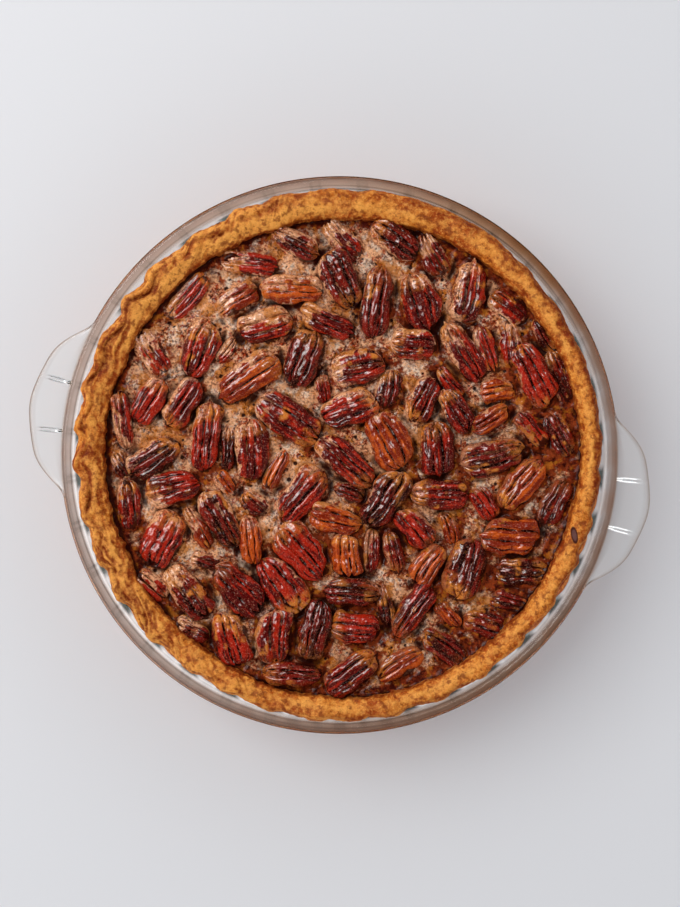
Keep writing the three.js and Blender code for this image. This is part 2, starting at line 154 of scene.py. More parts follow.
# Halves and pieces that sank and were baked over: x, y, heading in degrees, length and width, in the
# pie's frame, then how brown each is and how far the filling covers it, from 0 to 1.
SUNKEN = [
    (-40.5, 86.5, -9, 27, 11.5, "red", 0.2),
    (-68.5, 71.5, 49, 26, 11, "red", 0.1),
    (-46.5, 70, 32, 22, 11.5, "orange", 0.4),
    (-51, 47.5, 50, 14, 7, "red", 0.4),
    (-85, 46.5, -57, 24, 12, "red", 0.5),
    (-50.5, 3, 87, 21, 6.5, "dark", 0.2),
    (-28.5, -6.5, 64, 20, 8, "orange", 0.3),
    (1.5, 97.5, -48, 23, 11.5, "red", 0.2),
    (42, 91, -62, 23, 11.5, "dark", 0.2),
    (66.5, 47.5, -70, 23, 9.5, "red", 0.2),
    (77, 50.5, -84, 20, 10, "red", 0.5),
    (76, 67, -38, 20, 11.5, "red", 0.5),
    (99, 36, -68, 25, 10, "dark", 0.1),
    (22, 30, 80, 18, 12, "dark", 0.5),
    (50, 33, -50, 17, 7, "red", 0.2),
    (71, 29, 8, 16, 11, "orange", 0.4),
    (65.5, -22, -55, 17, 10, "red", 0.3),
    (97, -22, 64, 25, 12, "dark", 0.5),
    (86.5, 11.5, -52, 20, 10, "red", 0.5),
    (99.5, 9.5, -62, 22, 10.5, "dark", 0.4),
    (49.5, -33, -72, 16, 8, "orange", 0.3),
    (82.5, -52.5, -3, 24, 12, "dark", 0.5),
    (14.5, -43.5, 88, 21, 8, "red", 0.5),
    (24.5, -44, -77, 20, 8.5, "dark", 0.4),
    (20.5, -67.5, -82, 19, 8, "dark", 0.4),
    (27.5, -94.5, 31, 24, 11, "orange", 0.7),
    (47, -87, -35, 24, 11.5, "dark", 0.4),
    (65, -76.5, -20, 20, 11.5, "dark", 0.5),
    (49, -72, -50, 15, 7.5, "orange", 0.5),
    (-38.5, -22, -40, 14, 10, "dark", 0.3),
    (4.5, -17, -20, 14, 8, "dark", 0.3),
    (-64, -32.5, -61, 22, 8, "orange", 0.3),
    (-95, -22, 98, 24, 11, "red", 0.4),
    (-60.5, -48, -14, 15, 7, "dark", 0.5),
    (-85, -58.5, -40, 18, 10, "red", 0.4),
    (-66.5, -79, -28, 17, 9, "dark", 0.4),
    (-51.5, -13, -50, 13, 8, "orange", 0.3),
    (-98.5, -4, -60, 13, 9, "dark", 0.4),
    (-7.5, 30, -80, 13, 7, "red", 0.6),
    (93, 54, -55, 18, 9, "dark", 0.4),
    (77, -66, -15, 18, 9, "dark", 0.6),
]


# ---- Numbers over points ------------------------------------------------------------------------


def cell_value(x, y, z, seed):
    """A repeatable random number from -1 to 1 for each cell of a lattice."""
    bits = (x * 0x8DA6B343 + y * 0xD8163841 + z * 0xCB1AB31F + seed * 0x165667B1) & 0xFFFFFFFF
    bits = ((bits ^ (bits >> 15)) * 0x2C1B3C6D) & 0xFFFFFFFF
    bits = ((bits ^ (bits >> 12)) * 0x297A2D39) & 0xFFFFFFFF
    return (bits ^ (bits >> 15)) / 0x7FFFFFFF - 1


def noise(points, size, seed=0, octaves=1):
    """Smooth noise from about -1 to 1, with lumps of a size, which may differ along x, y and z."""
    total = np.zeros(len(points))
    for octave in range(octaves):
        place = points / np.array(size) * 2**octave + 31.7 * octave
        cell = np.floor(place).astype(np.int64)
        part = place - cell
        fade = part * part * (3 - 2 * part)
        for corner in itertools.product((0, 1), repeat=3):
            share = np.prod(np.where(corner, fade, 1 - fade), axis=1)
            total += share * cell_value(*(cell + corner).T, seed + 17 * octave) / 2**octave
    return total


def smoothstep(low, high, value):
    """0 below low, 1 above high, and smooth between. low may be above high, which turns it round."""
    share = np.clip((value - low) / (high - low), 0, 1)
    return share * share * (3 - 2 * share)


def bell(offset, width):
    """1 where the offset is 0, fading evenly to nothing on both sides of it."""
    return np.exp(-((offset / width) ** 2))


def curve_part(before, start, end, after, part):
    """Part of the way from start to end, on an even curve that comes from before and goes on to after."""
    bend = (2 * before - 5 * start + 4 * end - after) * part
    bend = bend + (3 * (start - end) + after - before) * part * part
    return start + 0.5 * part * (end - before + bend)


def around(values, angle):
    """A closed even curve through values spaced evenly over the full turn."""
    count = len(values)
    place = (np.asarray(angle) / TAU % 1) * count
    step = np.floor(place).astype(int)
    return curve_part(*(np.array(values)[(step + k) % count] for k in (-1, 0, 1, 2)), place - step)


def even_curve(values, where):
    """An open even curve through values, read at places from 0, its start, to 1, its end."""
    count = len(values)
    place = np.clip(where, 0, 1) * (count - 1)
    step = np.minimum(np.floor(place).astype(int), count - 2)
    padded = np.concatenate([[2 * values[0] - values[1]], values, [values[-2]]])
    return curve_part(*(padded[step + k] for k in range(4)), place - step)


def polar(radius, angle, height):
    """Points at radii, angles and heights, each a number or an array."""
    radius, angle, height = np.broadcast_arrays(radius, angle, height)
    return np.stack([radius * np.cos(angle), radius * np.sin(angle), height], axis=-1)


def angle_from(heading, angle):
    """How far an angle is past a heading, from minus to plus half a turn."""
    return (angle - heading + math.pi) % TAU - math.pi


# ---- Meshes -------------------------------------------------------------------------------------


def grid_faces(rows, columns, wrap_rows=False, wrap_columns=False):
    """Quads over a grid of points, as an array of indices."""
    i = np.arange(rows if wrap_rows else rows - 1)[:, None]
    j = np.arange(columns if wrap_columns else columns - 1)[None, :]
    low, high = i * columns, (i + 1) % rows * columns
    left, right = j, (j + 1) % columns
    return np.stack([low + left, low + right, high + right, high + left], axis=-1).reshape(-1, 4)


def make_object(name, points, faces, material, masks=None):
    """A smooth mesh object from points in millimetres, with named masks kept as point attributes."""
    mesh = bpy.data.meshes.new(name)
    mesh.from_pydata((np.asarray(points) * MM).tolist(), [], [list(face) for face in faces])
    mesh.update()
    mesh.shade_smooth()
    for mask, values in (masks or {}).items():
        attribute = mesh.attributes.new(mask, "FLOAT", "POINT")
        attribute.data.foreach_set("value", np.asarray(values, np.float32))
    thing = bpy.data.objects.new(name, mesh)
    bpy.context.scene.collection.objects.link(thing)
    thing.data.materials.append(material)
    return thing


def turned_from_pie(points):
    """Points from the pie's frame in the plate's frame."""
    x, y, z = points.T
    cos, sin = math.cos(PIE_TURN), math.sin(PIE_TURN)
    return np.stack([x * cos - y * sin, x * sin + y * cos, z], axis=-1)


def lathe(rings):
    """A closed body from rings of points, first and last ring closed to a middle point. rings has the
    shape (rings, steps, 3), from the middle of the top or bottom outwards and back to the middle."""
    count, steps, _ = rings.shape
    first = rings[0].mean(axis=0)
    last = rings[-1].mean(axis=0)
    points = np.concatenate([rings.reshape(-1, 3), [first, last]])
    quads = grid_faces(count, steps, wrap_columns=True)
    step = np.arange(steps)
    following = (step + 1) % steps
    start_fan = np.stack([np.full(steps, count * steps), following, step], axis=-1)
    end_base = (count - 1) * steps
    end_fan = np.stack([np.full(steps, count * steps + 1), end_base + step, end_base + following], axis=-1)
    return points, [*quads.tolist(), *start_fan.tolist(), *end_fan.tolist()]


# ---- Shader building ----------------------------------------------------------------------------


def srgb(*shades):
    """A colour as a linear tuple, from the 0 to 255 numbers that a paint chart gives."""
    return tuple(((c / 255 + 0.055) / 1.055) ** 2.4 if c > 10 else c / 255 / 12.92 for c in shades)


def rgba(colour):
    return (*tuple(colour)[:3], 1)


def add(tree, kind, inputs=None, **settings):
    """A node of a kind, with its settings, its input values and links from other nodes' outputs."""
    made = tree.nodes.new(kind)
    for key, value in settings.items():
        setattr(made, key, value)
    for key, value in (inputs or {}).items():
        if isinstance(value, bpy.types.NodeSocket):
            tree.links.new(value, made.inputs[key])
        else:
            made.inputs[key].default_value = value
    return made


def mask_of(tree, name):
    return add(tree, "ShaderNodeAttribute", attribute_name=name).outputs["Fac"]


def place_of(tree):
    return add(tree, "ShaderNodeTexCoord").outputs["Object"]


def speckle(tree, place, scale, detail, roughness):
    """Noise from 0 to 1 at a scale in lumps per metre."""
    settings = {"Vector": place, "Scale": scale, "Detail": detail, "Roughness": roughness}
    return add(tree, "ShaderNodeTexNoise", settings).outputs["Fac"]


def stepped(tree, value, low, high):
    """0 below low, 1 above high, and smooth between. low may be above high, which turns it round."""
    inputs = {"Value": value, "From Min": low, "From Max": high}
    return add(tree, "ShaderNodeMapRange", inputs, interpolation_type="SMOOTHSTEP").outputs["Result"]


def figure(tree, operation, first, second=0.0, third=0.0):
    made = add(tree, "ShaderNodeMath", {0: first, 1: second, 2: third}, operation=operation)
    return made.outputs[0]


def mixed(tree, factor, first, second):
    """Two colours mixed by a factor; each is a socket or a colour."""
    made = add(tree, "ShaderNodeMix", data_type="RGBA")
    for socket, value in ((made.inputs[0], factor), (made.inputs[6], first), (made.inputs[7], second)):
        if isinstance(value, bpy.types.NodeSocket):
            tree.links.new(value, socket)
        else:
            socket.default_value = value if isinstance(value, (int, float)) else rgba(value)
    return made.outputs[2]


def laid(tree, colour, coat, mask, share):
    """A colour with another laid over it where a mask is, as strongly as a share."""
    return mixed(tree, figure(tree, "MULTIPLY", mask, share), colour, coat)


def new_material(name):
    """A material with one Principled shader; returns it, its node tree and the shader."""
    material = bpy.data.materials.new(name)
    material.use_nodes = True
    tree = material.node_tree
    return material, tree, tree.nodes["Principled BSDF"]


def wire(tree, shader, **sources):
    """Links sources to the shader's sockets: base_color goes to Base Color, and so on."""
    for key, source in sources.items():
        tree.links.new(source, shader.inputs[key.replace("_", " ").title()])


def bumped(tree, height, strength, distance):
    inputs = {"Height": height, "Strength": strength, "Distance": distance}
    return add(tree, "ShaderNodeBump", inputs).outputs["Normal"]


def new_group(name, inputs, outputs):
    """A shader node group with named inputs (name: default) and outputs (name: socket type)."""
    group = bpy.data.node_groups.new(name, "ShaderNodeTree")
    for socket, default in inputs.items():
        kind = "NodeSocketFloat" if isinstance(default, (int, float)) else "NodeSocketColor"
        made = group.interface.new_socket(socket, in_out="INPUT", socket_type=kind)
        made.default_value = default if isinstance(default, (int, float)) else rgba(default)
    for socket, kind in outputs.items():
        group.interface.new_socket(socket, in_out="OUTPUT", socket_type=kind)
    return group, group.nodes.new("NodeGroupInput"), group.nodes.new("NodeGroupOutput")


def baked_froth_group():
    """Fine baked bubbles: tan foam, mottled with toasted and amber places and broken by pinholes, and
    a mask of where it lies, which grows with Amount."""
    name = "Baked Froth"
    if name in bpy.data.node_groups:
        return bpy.data.node_groups[name]
    inputs = {
        "Amount": 0.5,
        "Foam": srgb(205, 172, 132),
        "Cream": srgb(240, 210, 160),
        "Toasted": srgb(128, 82, 50),
        "Amber": srgb(190, 118, 48),
        "Burnt": srgb(120, 50, 20),
        "Pinhole": srgb(66, 32, 18),
    }
    outputs = {"Color": "NodeSocketColor", "Mask": "NodeSocketFloat", "Height": "NodeSocketFloat"}
    group, source, sink = new_group(name, inputs, outputs)
    given = source.outputs
    place = place_of(group)
    patches = speckle(group, place, 230, 5, 0.68)
    reach = figure(group, "SUBTRACT", 0.78, figure(group, "MULTIPLY", given["Amount"], 0.62))
    soft = figure(group, "ADD", reach, 0.16)
    mask = stepped(group, patches, reach, soft)
    mottle = speckle(group, place, 430, 5, 0.75)
    bubbles = add(group, "ShaderNodeTexVoronoi", {"Vector": place, "Scale": 1150, "Randomness": 1.0})
    bubble = add(group, "ShaderNodeSeparateColor", {"Color": bubbles.outputs["Color"]}).outputs[0]
    # Rough places, where the foam broke, are toasted more; calm ones stay creamy.
    rough = stepped(group, speckle(group, place, 120, 3, 0.6), 0.42, 0.6)
    level = figure(group, "SUBTRACT", mottle, figure(group, "MULTIPLY_ADD", rough, 0.16, -0.1))
    colour = mixed(group, stepped(group, level, 0.4, 0.56), given["Toasted"], given["Foam"])
    cream = stepped(group, speckle(group, place, 150, 5, 0.7), 0.5, 0.58)
    colour = laid(group, colour, given["Cream"], cream, 0.75)
    colour = laid(group, colour, given["Foam"], stepped(group, bubble, 0.6, 0.85), 0.5)
    colour = laid(group, colour, given["Burnt"], stepped(group, bubble, 0.4, 0.1), 0.6)
    amber = stepped(group, speckle(group, place, 100, 4, 0.65), 0.52, 0.58)
    colour = laid(group, colour, given["Amber"], amber, 0.7)
    holes = stepped(group, speckle(group, place, 780, 4, 0.68), 0.49, 0.41)
    holes = figure(group, "MULTIPLY", holes, figure(group, "MULTIPLY_ADD", rough, 0.55, 0.3))
    colour = mixed(group, holes, colour, given["Pinhole"])
    height = figure(group, "SUBTRACT", mottle, figure(group, "MULTIPLY", holes, 0.6))
    for socket, made in (("Color", colour), ("Mask", mask), ("Height", height)):
        group.links.new(made, sink.inputs[socket])
    return group


def use_group(tree, group, inputs):
    made = tree.nodes.new("ShaderNodeGroup")
    made.node_tree = group
    for key, value in inputs.items():
        if isinstance(value, bpy.types.NodeSocket):
            tree.links.new(value, made.inputs[key])
        else:
            made.inputs[key].default_value = value if isinstance(value, (int, float)) else rgba(value)
    return made.outputs


# ---- Materials ----------------------------------------------------------------------------------


def clear_glass(look):
    """Pressed clear glass. Its thick rim is painted with a brown-grey cast in streaks that run along it,
    painted refraction of the pie, its flutes with dark painted refraction and its edges with painted glints
    that glow, and lamps shine through it, as through the real thing."""
    material, tree, shader = new_material("clear_pressed_glass")
    rim = mask_of(tree, "rim")
    streak = mask_of(tree, "streak")
    # The rim's cast and streaks are painted refraction of the pie.
    colour = mixed(tree, rim, look.glass_tint, look.rim_cast)
    colour = mixed(tree, streak, colour, look.rim_streak)
    # Painted dark refraction between the flutes.
    colour = mixed(tree, mask_of(tree, "wedge"), colour, look.glass_wedge)
    # Painted highlights: the glints glow by emission.
    gleam = mixed(tree, mask_of(tree, "gleam"), (0, 0, 0), (1, 1, 1))
    wire(tree, shader, base_color=colour, emission_color=gleam)
    shader.inputs["Emission Strength"].default_value = look.gleam
    shader.inputs["Transmission Weight"].default_value = 1
    shader.inputs["Specular Tint"].default_value = (0.25, 0.25, 0.25, 1)
    shader.inputs["Roughness"].default_value = 0.02
    shader.inputs["IOR"].default_value = 1.47
    clear = add(tree, "ShaderNodeBsdfTransparent", {"Color": (0.975, 0.98, 0.985, 1)})
    path = add(tree, "ShaderNodeLightPath").outputs
    soft = figure(tree, "MAXIMUM", path["Is Shadow Ray"], path["Is Diffuse Ray"])
    both = add(tree, "ShaderNodeMixShader", {0: soft, 1: shader.outputs[0], 2: clear.outputs[0]})
    tree.links.new(both.outputs[0], tree.nodes["Material Output"].inputs["Surface"])
    return material


def baked_pastry(look):
    """Flaky golden pastry, darker in its folds and along its inner edge, browning and painted shade, and
    paler between, partly painted light.
    """
    material, tree, shader = new_material("baked_pastry")
    place = place_of(tree)
    blotch = speckle(tree, place, 100, 4, 0.6)
    fleck = speckle(tree, place, 620, 5, 0.7)
    fine = speckle(tree, place, 1300, 3, 0.7)
    patch = speckle(tree, place, 300, 3, 0.6)
    colour = mixed(tree, stepped(tree, blotch, 0.42, 0.56), look.pastry_golden, look.pastry_amber)
    colour = laid(tree, colour, look.pastry_pale, mask_of(tree, "pale"), 0.8)
    # Spots of three sizes, paler ones and then browner ones.
    pale = (patch, 0.52, 0.62, 0.55), (fleck, 0.52, 0.64, 0.62), (fine, 0.54, 0.64, 0.55)
    for spots, low, high, share in pale:
        colour = laid(tree, colour, look.pastry_pale, stepped(tree, spots, low, high), share)
    brown = (fleck, 0.48, 0.34, 0.42), (fine, 0.46, 0.36, 0.22), (patch, 0.48, 0.36, 0.7)
    for spots, low, high, share in brown:
        colour = laid(tree, colour, look.pastry_browned, stepped(tree, spots, low, high), share)
    # The browning mask also carries painted shade in the folds, the flakes' hollows and the inner edge.
    reach = figure(tree, "MULTIPLY_ADD", stepped(tree, fleck, 0.62, 0.38), 0.45, 0.55)
    browned = figure(tree, "MULTIPLY", mask_of(tree, "browned"), reach)
    colour = mixed(tree, browned, colour, look.pastry_browned)
    scorch = mask_of(tree, "scorch")
    colour = mixed(tree, stepped(tree, scorch, 0.1, 0.4), colour, look.pastry_scorched)
    colour = laid(tree, colour, look.pastry_ash, stepped(tree, scorch, 0.55, 0.9), 0.7)
    relief = figure(tree, "MULTIPLY_ADD", fine, 0.4, fleck)
    wire(tree, shader, base_color=colour, normal=bumped(tree, relief, 0.6, 0.0008))
    shader.inputs["Roughness"].default_value = 0.55
    shader.inputs["Specular IOR Level"].default_value = 0.08
    return material


def froth_inputs(look, foam, cream, amount):
    """The Baked Froth group's values on the filling and, with another foam, on the pecans."""
    colours = {"Foam": foam, "Cream": cream, "Toasted": look.froth_toasted, "Amber": look.filling_amber}
    return {**colours, "Burnt": look.filling_ruddy, "Pinhole": look.filling_dark, "Amount": amount}


def baked_filling(look):
    """Set syrup custard: a toasted skin with tan froth, amber clear spots and dark wet places."""
    material, tree, shader = new_material("baked_filling")
    place = place_of(tree)
    inputs = froth_inputs(look, look.froth, look.froth_cream, mask_of(tree, "froth"))
    froth = use_group(tree, baked_froth_group(), inputs)
    patch = speckle(tree, place, 330, 5, 0.7)
    fine = speckle(tree, place, 1100, 3, 0.65)
    amber = stepped(tree, speckle(tree, place, 200, 4, 0.6), 0.53, 0.62)
    ruddy = stepped(tree, speckle(tree, place, 120, 4, 0.6), 0.52, 0.6)
    colour = mixed(tree, stepped(tree, patch, 0.4, 0.56), look.filling_dark, look.filling_brown)
    colour = laid(tree, colour, look.filling_ruddy, ruddy, 0.6)
    colour = laid(tree, colour, look.filling_amber, amber, 0.7)
    colour = laid(tree, colour, look.froth_toasted, stepped(tree, fine, 0.54, 0.66), 0.55)
    colour = mixed(tree, froth["Mask"], colour, froth["Color"])
    # Syrup that seeped out round the nuts stains the froth, and darkens it close to them as painted shade.
    gap = mask_of(tree, "gap")
    stain = figure(tree, "MULTIPLY", stepped(tree, gap, 3.0, 0.2), stepped(tree, patch, 0.62, 0.42))
    colour = laid(tree, colour, look.filling_brown, stain, 0.7)
    dark = figure(tree, "MULTIPLY", mask_of(tree, "edge"), stepped(tree, patch, 0.66, 0.4))
    colour = mixed(tree, dark, colour, look.filling_dark)
    # Wet syrup and painted shadow: a broken dark line beside the nuts, mostly their painted shadow on the
    # lower right, the pinholes and the pastry's foot, where the pastry's painted shadow is widest at the
    # left. The masks are distances in millimetres, so that their edges stay sharp between the mesh's
    # points.
    ragged = figure(tree, "MULTIPLY_ADD", fine, 1.6, figure(tree, "MULTIPLY_ADD", patch, 6.5, -3.9))
    beside = stepped(tree, figure(tree, "ADD", gap, ragged), 0.8, 0.4)
    hole = stepped(tree, mask_of(tree, "pit"), 0.12, -0.12)
    wet = figure(tree, "MAXIMUM", figure(tree, "MULTIPLY", beside, 0.9), hole)
    wet = figure(tree, "MAXIMUM", wet, mask_of(tree, "wet"))
    colour = laid(tree, colour, look.syrup, wet, 0.94)
    gloss = figure(tree, "MULTIPLY_ADD", froth["Mask"], 0.2, 0.34)
    relief = figure(tree, "MULTIPLY_ADD", fine, 0.5, patch)
    relief = figure(tree, "SUBTRACT", figure(tree, "MULTIPLY_ADD", froth["Height"], 0.8, relief), wet)
    wire(tree, shader, base_color=colour, roughness=gloss, normal=bumped(tree, relief, 0.8, 0.0009))
    shader.inputs["Specular IOR Level"].default_value = 0.03
    shader.inputs["Coat Weight"].default_value = 0.16
    shader.inputs["Coat Roughness"].default_value = 0.12
    shader.inputs["Coat IOR"].default_value = 1.4
    return material


def glazed_pecan(tone, look):
    """A syrup-glazed pecan half: red-brown skin streaked along it, painted near black in the furrows and at
    its foot as shade, with froth that has crept up its flanks and a pale film on its upper-left flanks that
    is partly a painted sheen."""
    name = f"glazed_pecan_{tone}"
    if name in bpy.data.materials:
        return bpy.data.materials[name]
    material, tree, shader = new_material(name)
    place = place_of(tree)
    skin, deep = getattr(look, f"pecan_{tone}"), getattr(look, f"pecan_{tone}_deep")
    blotch = speckle(tree, place, 420, 5, 0.7)
    grain = speckle(tree, place, 1500, 3, 0.6)
    drawn = figure(tree, "MULTIPLY_ADD", mask_of(tree, "streak"), 0.8, -0.52)
    drawn = figure(tree, "MULTIPLY_ADD", blotch, 1.3, drawn)
    drawn = figure(tree, "SUBTRACT", drawn, figure(tree, "MULTIPLY", mask_of(tree, "shade"), 0.5))
    colour = mixed(tree, stepped(tree, drawn, 0.22, 0.66), deep, skin)
    tip = figure(tree, "MULTIPLY", mask_of(tree, "tip"), stepped(tree, blotch, 0.36, 0.56))
    colour = mixed(tree, tip, colour, look.pecan_tip)
    colour = laid(tree, colour, look.pecan_bloom, stepped(tree, grain, 0.54, 0.7), 0.42)
    colour = laid(tree, colour, look.pecan_furrow, stepped(tree, grain, 0.42, 0.3), 0.55)
    # Painted shade: the furrows and the foot are laid near black.
    furrow = mask_of(tree, "furrow")
    dark = figure(tree, "MAXIMUM", furrow, mask_of(tree, "foot"))
    colour = mixed(tree, stepped(tree, dark, 0.2, 0.7), colour, look.pecan_furrow)
    # Beads of froth left in the furrows.
    beads = stepped(tree, speckle(tree, place, 900, 3, 0.6), 0.56, 0.66)
    colour = laid(tree, colour, look.froth_film, figure(tree, "MULTIPLY", beads, furrow), 0.8)
    # Thick froth is like the filling's, a thin film of it is pinker, partly a painted sheen, and at the
    # lower right it is browner.
    cover = mask_of(tree, "cover")
    foam = mixed(tree, stepped(tree, cover, 0.5, 0.95), look.froth_film, look.froth)
    foam = mixed(tree, mask_of(tree, "toasted"), foam, look.filling_brown)
    froth = use_group(tree, baked_froth_group(), froth_inputs(look, foam, foam, cover))
    colour = laid(tree, colour, froth["Color"], froth["Mask"], 0.85)
    gloss = figure(tree, "MULTIPLY_ADD", froth["Mask"], 0.25, 0.32)
    relief = figure(tree, "MULTIPLY_ADD", grain, 0.8, blotch)
    wire(tree, shader, base_color=colour, roughness=gloss, normal=bumped(tree, relief, 0.8, 0.0009))
    shader.inputs["Specular IOR Level"].default_value = 0.0
    shader.inputs["Coat Weight"].default_value = 1.0
    shader.inputs["Coat Roughness"].default_value = 0.18
    shader.inputs["Coat IOR"].default_value = 1.5
    return material


def plain_floor(look):
    material, _, shader = new_material("plain_floor")
    shader.inputs["Base Color"].default_value = rgba(look.floor)
    shader.inputs["Roughness"].default_value = 0.6
    shader.inputs["Specular IOR Level"].default_value = 0.2
    return material


# ---- The plate ----------------------------------------------------------------------------------


def from_flute_edge(angle):
    """How far an angle is from the sharp edge between two flutes, as a share of a flute."""
    along = np.asarray(angle) / TAU * FLUTES + 0.5
    return np.abs(along - np.round(along))


def wall_radius(height, angle):
    """Inside radius of the plate's wall, which stands in at the sharp edges between its round flutes."""
    share = np.clip((height - FLOOR_THICKNESS) / (RIM_UNDER - FLOOR_THICKNESS), 0, 1)
    flare = FOOT_RADIUS - 2 + (MOUTH_RADIUS - FOOT_RADIUS + 1) * share**0.9
    edge = np.clip(1 - 2.4 * from_flute_edge(angle), 0, 1) ** 1.3
    return flare - FLUTE_DEPTH * smoothstep(0.1, 0.6, share) * edge


def plate_steps(sizes):
    """Angles round the plate, closer together over the two handles and closest over their ribs."""
    rib, beside = HANDLE_RIB["angle"], 0.015
    corners = (-HANDLE_SPAN, -rib - beside, -rib + beside, rib - beside, rib + beside, HANDLE_SPAN)
    corners = (*corners, math.pi - HANDLE_SPAN)
    steps = []
    for start, end, degrees in zip(corners, corners[1:], (0.3, 0.1, 0.3, 0.1, 0.3, 360 / sizes.steps)):
        count = math.ceil((end - start) / math.radians(degrees))
        steps.append(start + (end - start) * np.arange(count) / count)
    half_turn = np.concatenate(steps)
    return np.concatenate([half_turn, half_turn + math.pi])


def from_handle(angle):
    """How far an angle is from the middle line of the nearer handle."""
    return np.abs((angle + math.pi / 2) % math.pi - math.pi / 2)


def handle_outline(angle):
    """The rim's radius, or the handle's outline."""
    past, aside = np.array(HANDLE_OUTLINE).T
    # An even curve through the outline's points, and then its radius at each angle.
    x, y = (even_curve(values, np.linspace(0, 1, 120)) for values in (past + PLATE_RADIUS, aside))
    angles, radii = np.arctan2(y, x), np.hypot(x, y)
    order = np.argsort(angles)
    reach = np.interp(from_handle(angle), angles[order], radii[order], right=PLATE_RADIUS)
    return np.maximum(reach, PLATE_RADIUS)


def handle_reach(angle):
    """How far the plate reaches at an angle, with the handles' outlines softened at their corners."""
    return np.mean([handle_outline(angle + shift) for shift in np.linspace(-0.03, 0.03, 9)], axis=0)


def plate_mesh(sizes):
    """The whole plate as one closed body: floor, fluted wall, beaded rim and the two tab handles."""
    angle = plate_steps(sizes)
    reach = handle_reach(angle)
    tab = np.clip((reach - PLATE_RADIUS) / 4, 0, 1)
    off_rib = np.abs(from_handle(angle) - HANDLE_RIB["angle"]) * (PLATE_RADIUS + 8)
    rib = np.clip(1 - (off_rib / (HANDLE_RIB["width"] / 2)) ** 2, 0, 1) ** 0.5 * tab
    rings = []

    def ring(radius, height):
        rings.append(polar(radius, angle, height))

    # Underside, from the middle out, with a shallow foot ring.
    for radius, height in FOOT_PROFILE:
        ring(radius, height)
    low = wall_radius(FLOOR_THICKNESS, angle) + WALL_THICKNESS
    ring(0.5 * (low + FOOT_RADIUS), 1.4)
    ring(low, 3.4)
    for height in np.linspace(6, WALL_TOP, sizes.wall_rings):
        ring(wall_radius(height, angle) + WALL_THICKNESS, height + (height - 6) / WALL_TOP)
    # Underside of the rim and of the handles, with the grip ribs.
    top = PLATE_HEIGHT - 0.2 - 0.25 * tab
    under = top - HANDLE_THICKNESS
    ring(PLATE_RADIUS - 1.2, RIM_UNDER + 0.5)
    ring(PLATE_RADIUS - 0.4, RIM_UNDER + 1.1)
    inner, outer = PLATE_RADIUS - 0.2, np.maximum(reach, PLATE_RADIUS)
    base = RIM_UNDER + 1.2 + (under - RIM_UNDER - 1.2) * tab
    for share, ribbed in ((0, 0), (0.04, 1), (0.3, 1), (0.6, 1), (0.86, 0)):
        radius = inner + (outer - 1.2 * tab - inner) * share
        ring(radius, base + (share * (1 - tab)) * 0.8 - rib * HANDLE_RIB["drop"] * ribbed)
    # The outer edge, rounded.
    lowest = np.where(tab > 0, under, RIM_UNDER + 1.4)
    for turn_up in np.linspace(-0.42, 0.42, 9) * math.pi:
        swell = 1.1 * np.cos(turn_up) - 1.1
        height = (top + lowest) / 2 + (top - lowest) / 2 * np.sin(turn_up) * 1.02
        ring(outer + swell * (0.3 + 0.7 * tab), height)
    # The top of the handles, a small step up to the rim's bead, and the bead itself.
    for share in (0.98, 0.93, 0.88, 0.6, 0.3, 0.06):
        ring(inner + (outer - 1.4 * tab - inner) * share, top + 0.02)
    for bead in np.linspace(0, 1, 13):
        radius = PLATE_RADIUS - 0.45 - bead * (PLATE_RADIUS - MOUTH_RADIUS - 1.05)
        ring(radius, PLATE_HEIGHT - RIM_CROWN * abs(2 * bead - 0.9) ** 2.2)
    edge = PLATE_HEIGHT - RIM_CROWN * 1.1**2.2
    for turn_down in np.linspace(0, math.pi / 2, 6)[1:]:
        ring(MOUTH_RADIUS + 0.6 * (1 - math.sin(turn_down)), edge - 0.6 * (1 - math.cos(turn_down)))
    # Inside, down the fluted wall to the floor.
    low_heights = np.linspace(33, FLOOR_THICKNESS + 3, sizes.wall_rings)
    for height in (*np.linspace(edge - 1.6, 36, 9), *low_heights):
        inside = wall_radius(min(height, WALL_TOP), angle)
        open_up = smoothstep(WALL_TOP - 2, edge - 1.2, height)
        ring(inside + (MOUTH_RADIUS - inside) * open_up, height)
    floor_edge = wall_radius(FLOOR_THICKNESS, angle)
    for inwards, above in ((0.4, 1.2), (1.6, 0.3), (3.4, 0)):
        ring(floor_edge - inwards, FLOOR_THICKNESS + above)
    for radius in (60, 20):
        ring(radius, FLOOR_THICKNESS)
    rings = np.array(rings)
    rings[..., 2] = np.minimum(rings[..., 2], PLATE_HEIGHT)
    points, faces = lathe(rings)
    return points, faces, glass_masks(points)


